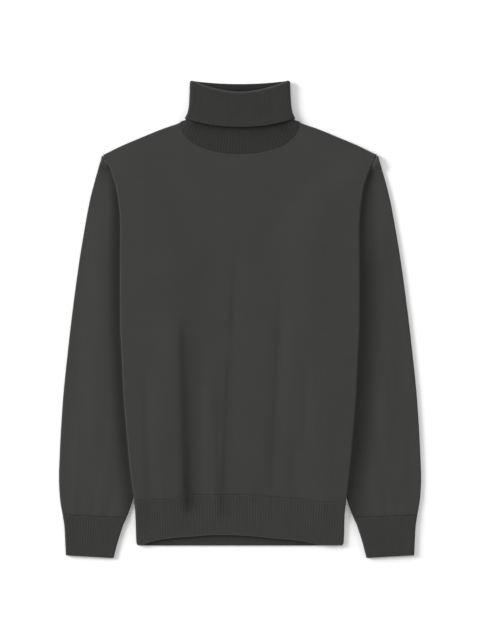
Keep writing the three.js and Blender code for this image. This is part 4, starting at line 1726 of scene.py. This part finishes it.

        # Painted shade inside the collar.
        for t in spread(0, 1, self.neck_rows):
            y = mix(base, edge, t)
            add(y, inner, risen_at(y), -self.inside_rise, self.inside_shade[1])
        for t in spread(0, 1, self.inside_rows)[1:]:
            y = mix(edge, stand_top, t)
            shade = mix(*self.inside_shade, eased((stand_top - y) / self.inside_reach))
            add(y, inner, 1.0, -self.inside_rise, shade)
        for turn in spread(0, 2, self.bend_rows)[1:-1]:
            a = turn * QUARTER_TURN
            rib = self.turned_rise * eased(turn - 1)
            # Painted highlight on the front's top fold, after painted shade inside.
            pale = self.top_painted_highlight * eased(turn / self.top_turn) * front
            shade = self.inside_shade[0] * eased(1 - turn) - pale
            add(stand_top + bend * math.sin(a), bend_at - bend * math.cos(a), 1.0, rib, shade)
        for t in joined(spread(0, self.turned_edge[0], self.turned_rows), np.array(self.turned_edge)):
            y = mix(stand_top, edge, t)
            above = y - edge
            lift = lifted * eased(1 - above / self.edge_lift_length)
            crease = sum(fold.relief(x, y) for fold in self.creases) * front
            # Painted highlight along the top fold and along the free edge.
            pale = -self.top_painted_highlight * eased(1 - (stand_top - y) / self.top_reach) * front
            pale = pale - self.foot_painted_highlight * eased(1 - above / self.foot_reach)
            add(y, outer + lift + crease - rolled(above, LIP), 1.0, self.turned_rise, pale)
        # Painted shade on the hidden faces.
        for t in spread(1, 0, self.hidden_rows):
            y = mix(stand_top, edge, t)
            lift = lifted * eased(1 - (y - edge) / self.edge_lift_length)
            add(y, outer - RIB_WALL + lift, 1.0, 0.0, self.hidden_shade[0])
        for turn in spread(0, 2, self.hidden_bend_rows)[1:-1]:
            a = turn * QUARTER_TURN
            y = stand_top + small_bend * math.sin(a)
            add(y, bend_at + small_bend * math.cos(a), 1.0, 0.0, self.hidden_shade[1])
        for t in spread(0, 1, self.hidden_rows):
            add(mix(stand_top, edge, t), inner + RIB_WALL, 1.0, 0.0, self.hidden_shade[1])
        for t in joined(spread(0, self.stand_foot[0], self.stand_rows), np.array(self.stand_foot))[1:]:
            # Painted shade on the stand below the turned-down edge, wider towards the corners.
            y = mix(edge, base, t)
            reach = mix(*self.corner_reach, across**4)
            shade = (np.exp(-(edge - y) / reach) + self.stand_shade) * off_corner
            add(y, inner + RIB_WALL - rolled(y - base, LIP), risen_at(y), self.stand_rise, shade)

        ring = np.stack(sections, axis=1)
        places, size = ring.shape[:2]
        ids = np.arange(places * size).reshape(places, size)
        a, b = ids, np.roll(ids, -1, axis=1)
        c, d = np.roll(a, -1, axis=0), np.roll(b, -1, axis=0)
        faces = list(map(tuple, np.stack([a, b, d, c], axis=-1).reshape(-1, 4).tolist()))
        cloth = np.stack(cloths, axis=1).reshape(-1, 3)
        return Shell(ring.reshape(-1, 3), faces, cloth, np.stack(hollows, axis=1).ravel())

    def build(self, material: bpy.types.Material) -> bpy.types.Object:
        """Builds the collar and lets it stand for its solid."""
        return fit(self.shell(), "knit_collar", material, "collar")


class Lamp(NamedTuple):
    """A square soft light: its name, where it hangs, how long its side is and its power in watts."""

    name: str
    place: tuple[float, float, float]
    side: float
    power: float


@dataclass(frozen=True)
class Studio:
    """The pale floor, the soft lights and the camera that looks straight down, in metres."""

    camera_height: float = 3.0
    frame_height: float = 1.0624
    aim_y: float = -0.0008
    sensor: float = 36.0
    floor_side: float = 24.0
    floor_level: float = -0.0004
    floor_tone: float = 0.885
    sky: float = 0.28
    lamps: tuple[Lamp, ...] = (
        Lamp("key", (-5.35, 1.9, 2.1), 2.8, 665.0),
        Lamp("right", (5.5, 0.5, 2.0), 2.8, 195.0),
        Lamp("far", (-0.7, 5.6, 1.55), 2.8, 185.0),
        Lamp("near", (0.5, -5.6, 1.55), 2.8, 170.0),
    )

    def floor(self) -> bpy.types.Object:
        """Lays the floor.

        Returns:
            The floor.
        """
        half = self.floor_side / 2
        corners = [(-half, -half, 0), (half, -half, 0), (half, half, 0), (-half, half, 0)]
        mesh = bpy.data.meshes.new("floor")
        mesh.from_pydata(corners, [], [(0, 1, 2, 3)])
        material = bpy.data.materials.new("pale floor")
        material.use_nodes = True
        surface = material.node_tree.nodes["Principled BSDF"]
        surface.inputs["Base Color"].default_value = (self.floor_tone, self.floor_tone, self.floor_tone, 1.0)
        surface.inputs["Roughness"].default_value = 1.0
        surface.inputs["Specular IOR Level"].default_value = 0.0
        mesh.materials.append(material)
        made = bpy.data.objects.new("floor", mesh)
        made.location.z = self.floor_level
        bpy.context.scene.collection.objects.link(made)
        return made

    def hang(self, lamp: Lamp) -> None:
        """Hangs a light that looks at the sweater.

        Args:
            lamp: The light.
        """
        data = bpy.data.lights.new(lamp.name, "AREA")
        data.shape = "SQUARE"
        data.size = lamp.side
        data.energy = lamp.power
        made = bpy.data.objects.new(lamp.name, data)
        made.location = lamp.place
        made.rotation_euler = (-Vector(lamp.place)).to_track_quat("-Z", "Y").to_euler()
        bpy.context.scene.collection.objects.link(made)

    def lights(self) -> None:
        """Hangs the lamps round the sweater, with the strongest on the left, under an even sky."""
        for lamp in self.lamps:
            self.hang(lamp)
        world = bpy.data.worlds.new("studio")
        world.use_nodes = True
        background = world.node_tree.nodes["Background"]
        background.inputs["Color"].default_value = (1.0, 1.0, 1.0, 1.0)
        background.inputs["Strength"].default_value = self.sky
        bpy.context.scene.world = world

    def camera(self) -> None:
        """Hangs the camera over the sweater, so that the picture spans its frame at the cloth's level."""
        data = bpy.data.cameras.new("camera")
        data.sensor_width = self.sensor
        data.lens = self.sensor * self.camera_height / self.frame_height
        made = bpy.data.objects.new("camera", data)
        made.location = (0.0, self.aim_y, self.camera_height)
        bpy.context.scene.collection.objects.link(made)
        bpy.context.scene.camera = made
        bpy.context.scene.view_settings.view_transform = "Standard"

    def build(self) -> None:
        """Sets up the whole studio."""
        self.floor()
        self.lights()
        self.camera()
        LOG.info("studio: camera %.2f m above the floor", self.camera_height)


def main() -> None:
    """Builds the sweater's pieces in order and sets up the studio."""
    logging.basicConfig(level=logging.INFO, format="%(name)s: %(message)s")
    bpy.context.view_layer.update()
    finishes = Wardrobe.make()
    body = BodyForm()
    arm = SleeveForm(body)
    seams = Seams(body, arm)
    linking = Linking()
    back = BodyPanel(body, Layer.BACK, neck_columns=40, shoulder_columns=56, low_rows=120, high_rows=36)
    front = BodyPanel(body, Layer.FRONT, neck_columns=62, shoulder_columns=85)
    back_piece = back.build(finishes.body)
    front_piece = front.build(finishes.body)
    hem_back = HemRib(body, Layer.BACK, columns_per_rib=6, row_count=30, inside_step=1).build(finishes.hem)
    hem_front = HemRib(body, Layer.FRONT).build(finishes.hem)
    collar = RollCollar(body).build(finishes.collar)
    joins = {
        layer: linking.build(f"hem_{layer.value}", seams.hem(layer), finishes.hem, Slot.RIB)
        for layer in Layer
    }
    necks = [
        linking.build(f"neck_{layer.value}", seams.neckline(layer), finishes.collar, Slot.RIB)
        for layer in Layer
    ]
    edges = [
        linking.build(f"{name}_{side.value}", seam(side), finishes.body, Slot.JERSEY)
        for side in Side
        for name, seam in (("side", seams.flank), ("shoulder", seams.shoulder))
    ]
    for side in Side:
        sleeve = Sleeve(arm, side).build(finishes.sleeve)
        cuff = Cuff(arm, side).build(finishes.cuff)
        underarm = linking.build(f"underarm_{side.value}", seams.underarm(side), finishes.sleeve, Slot.JERSEY)
        wrist = linking.build(f"cuff_{side.value}", seams.cuff(side), finishes.cuff, Slot.RIB)
    Studio().build()


if __name__ == "__main__":
    main()
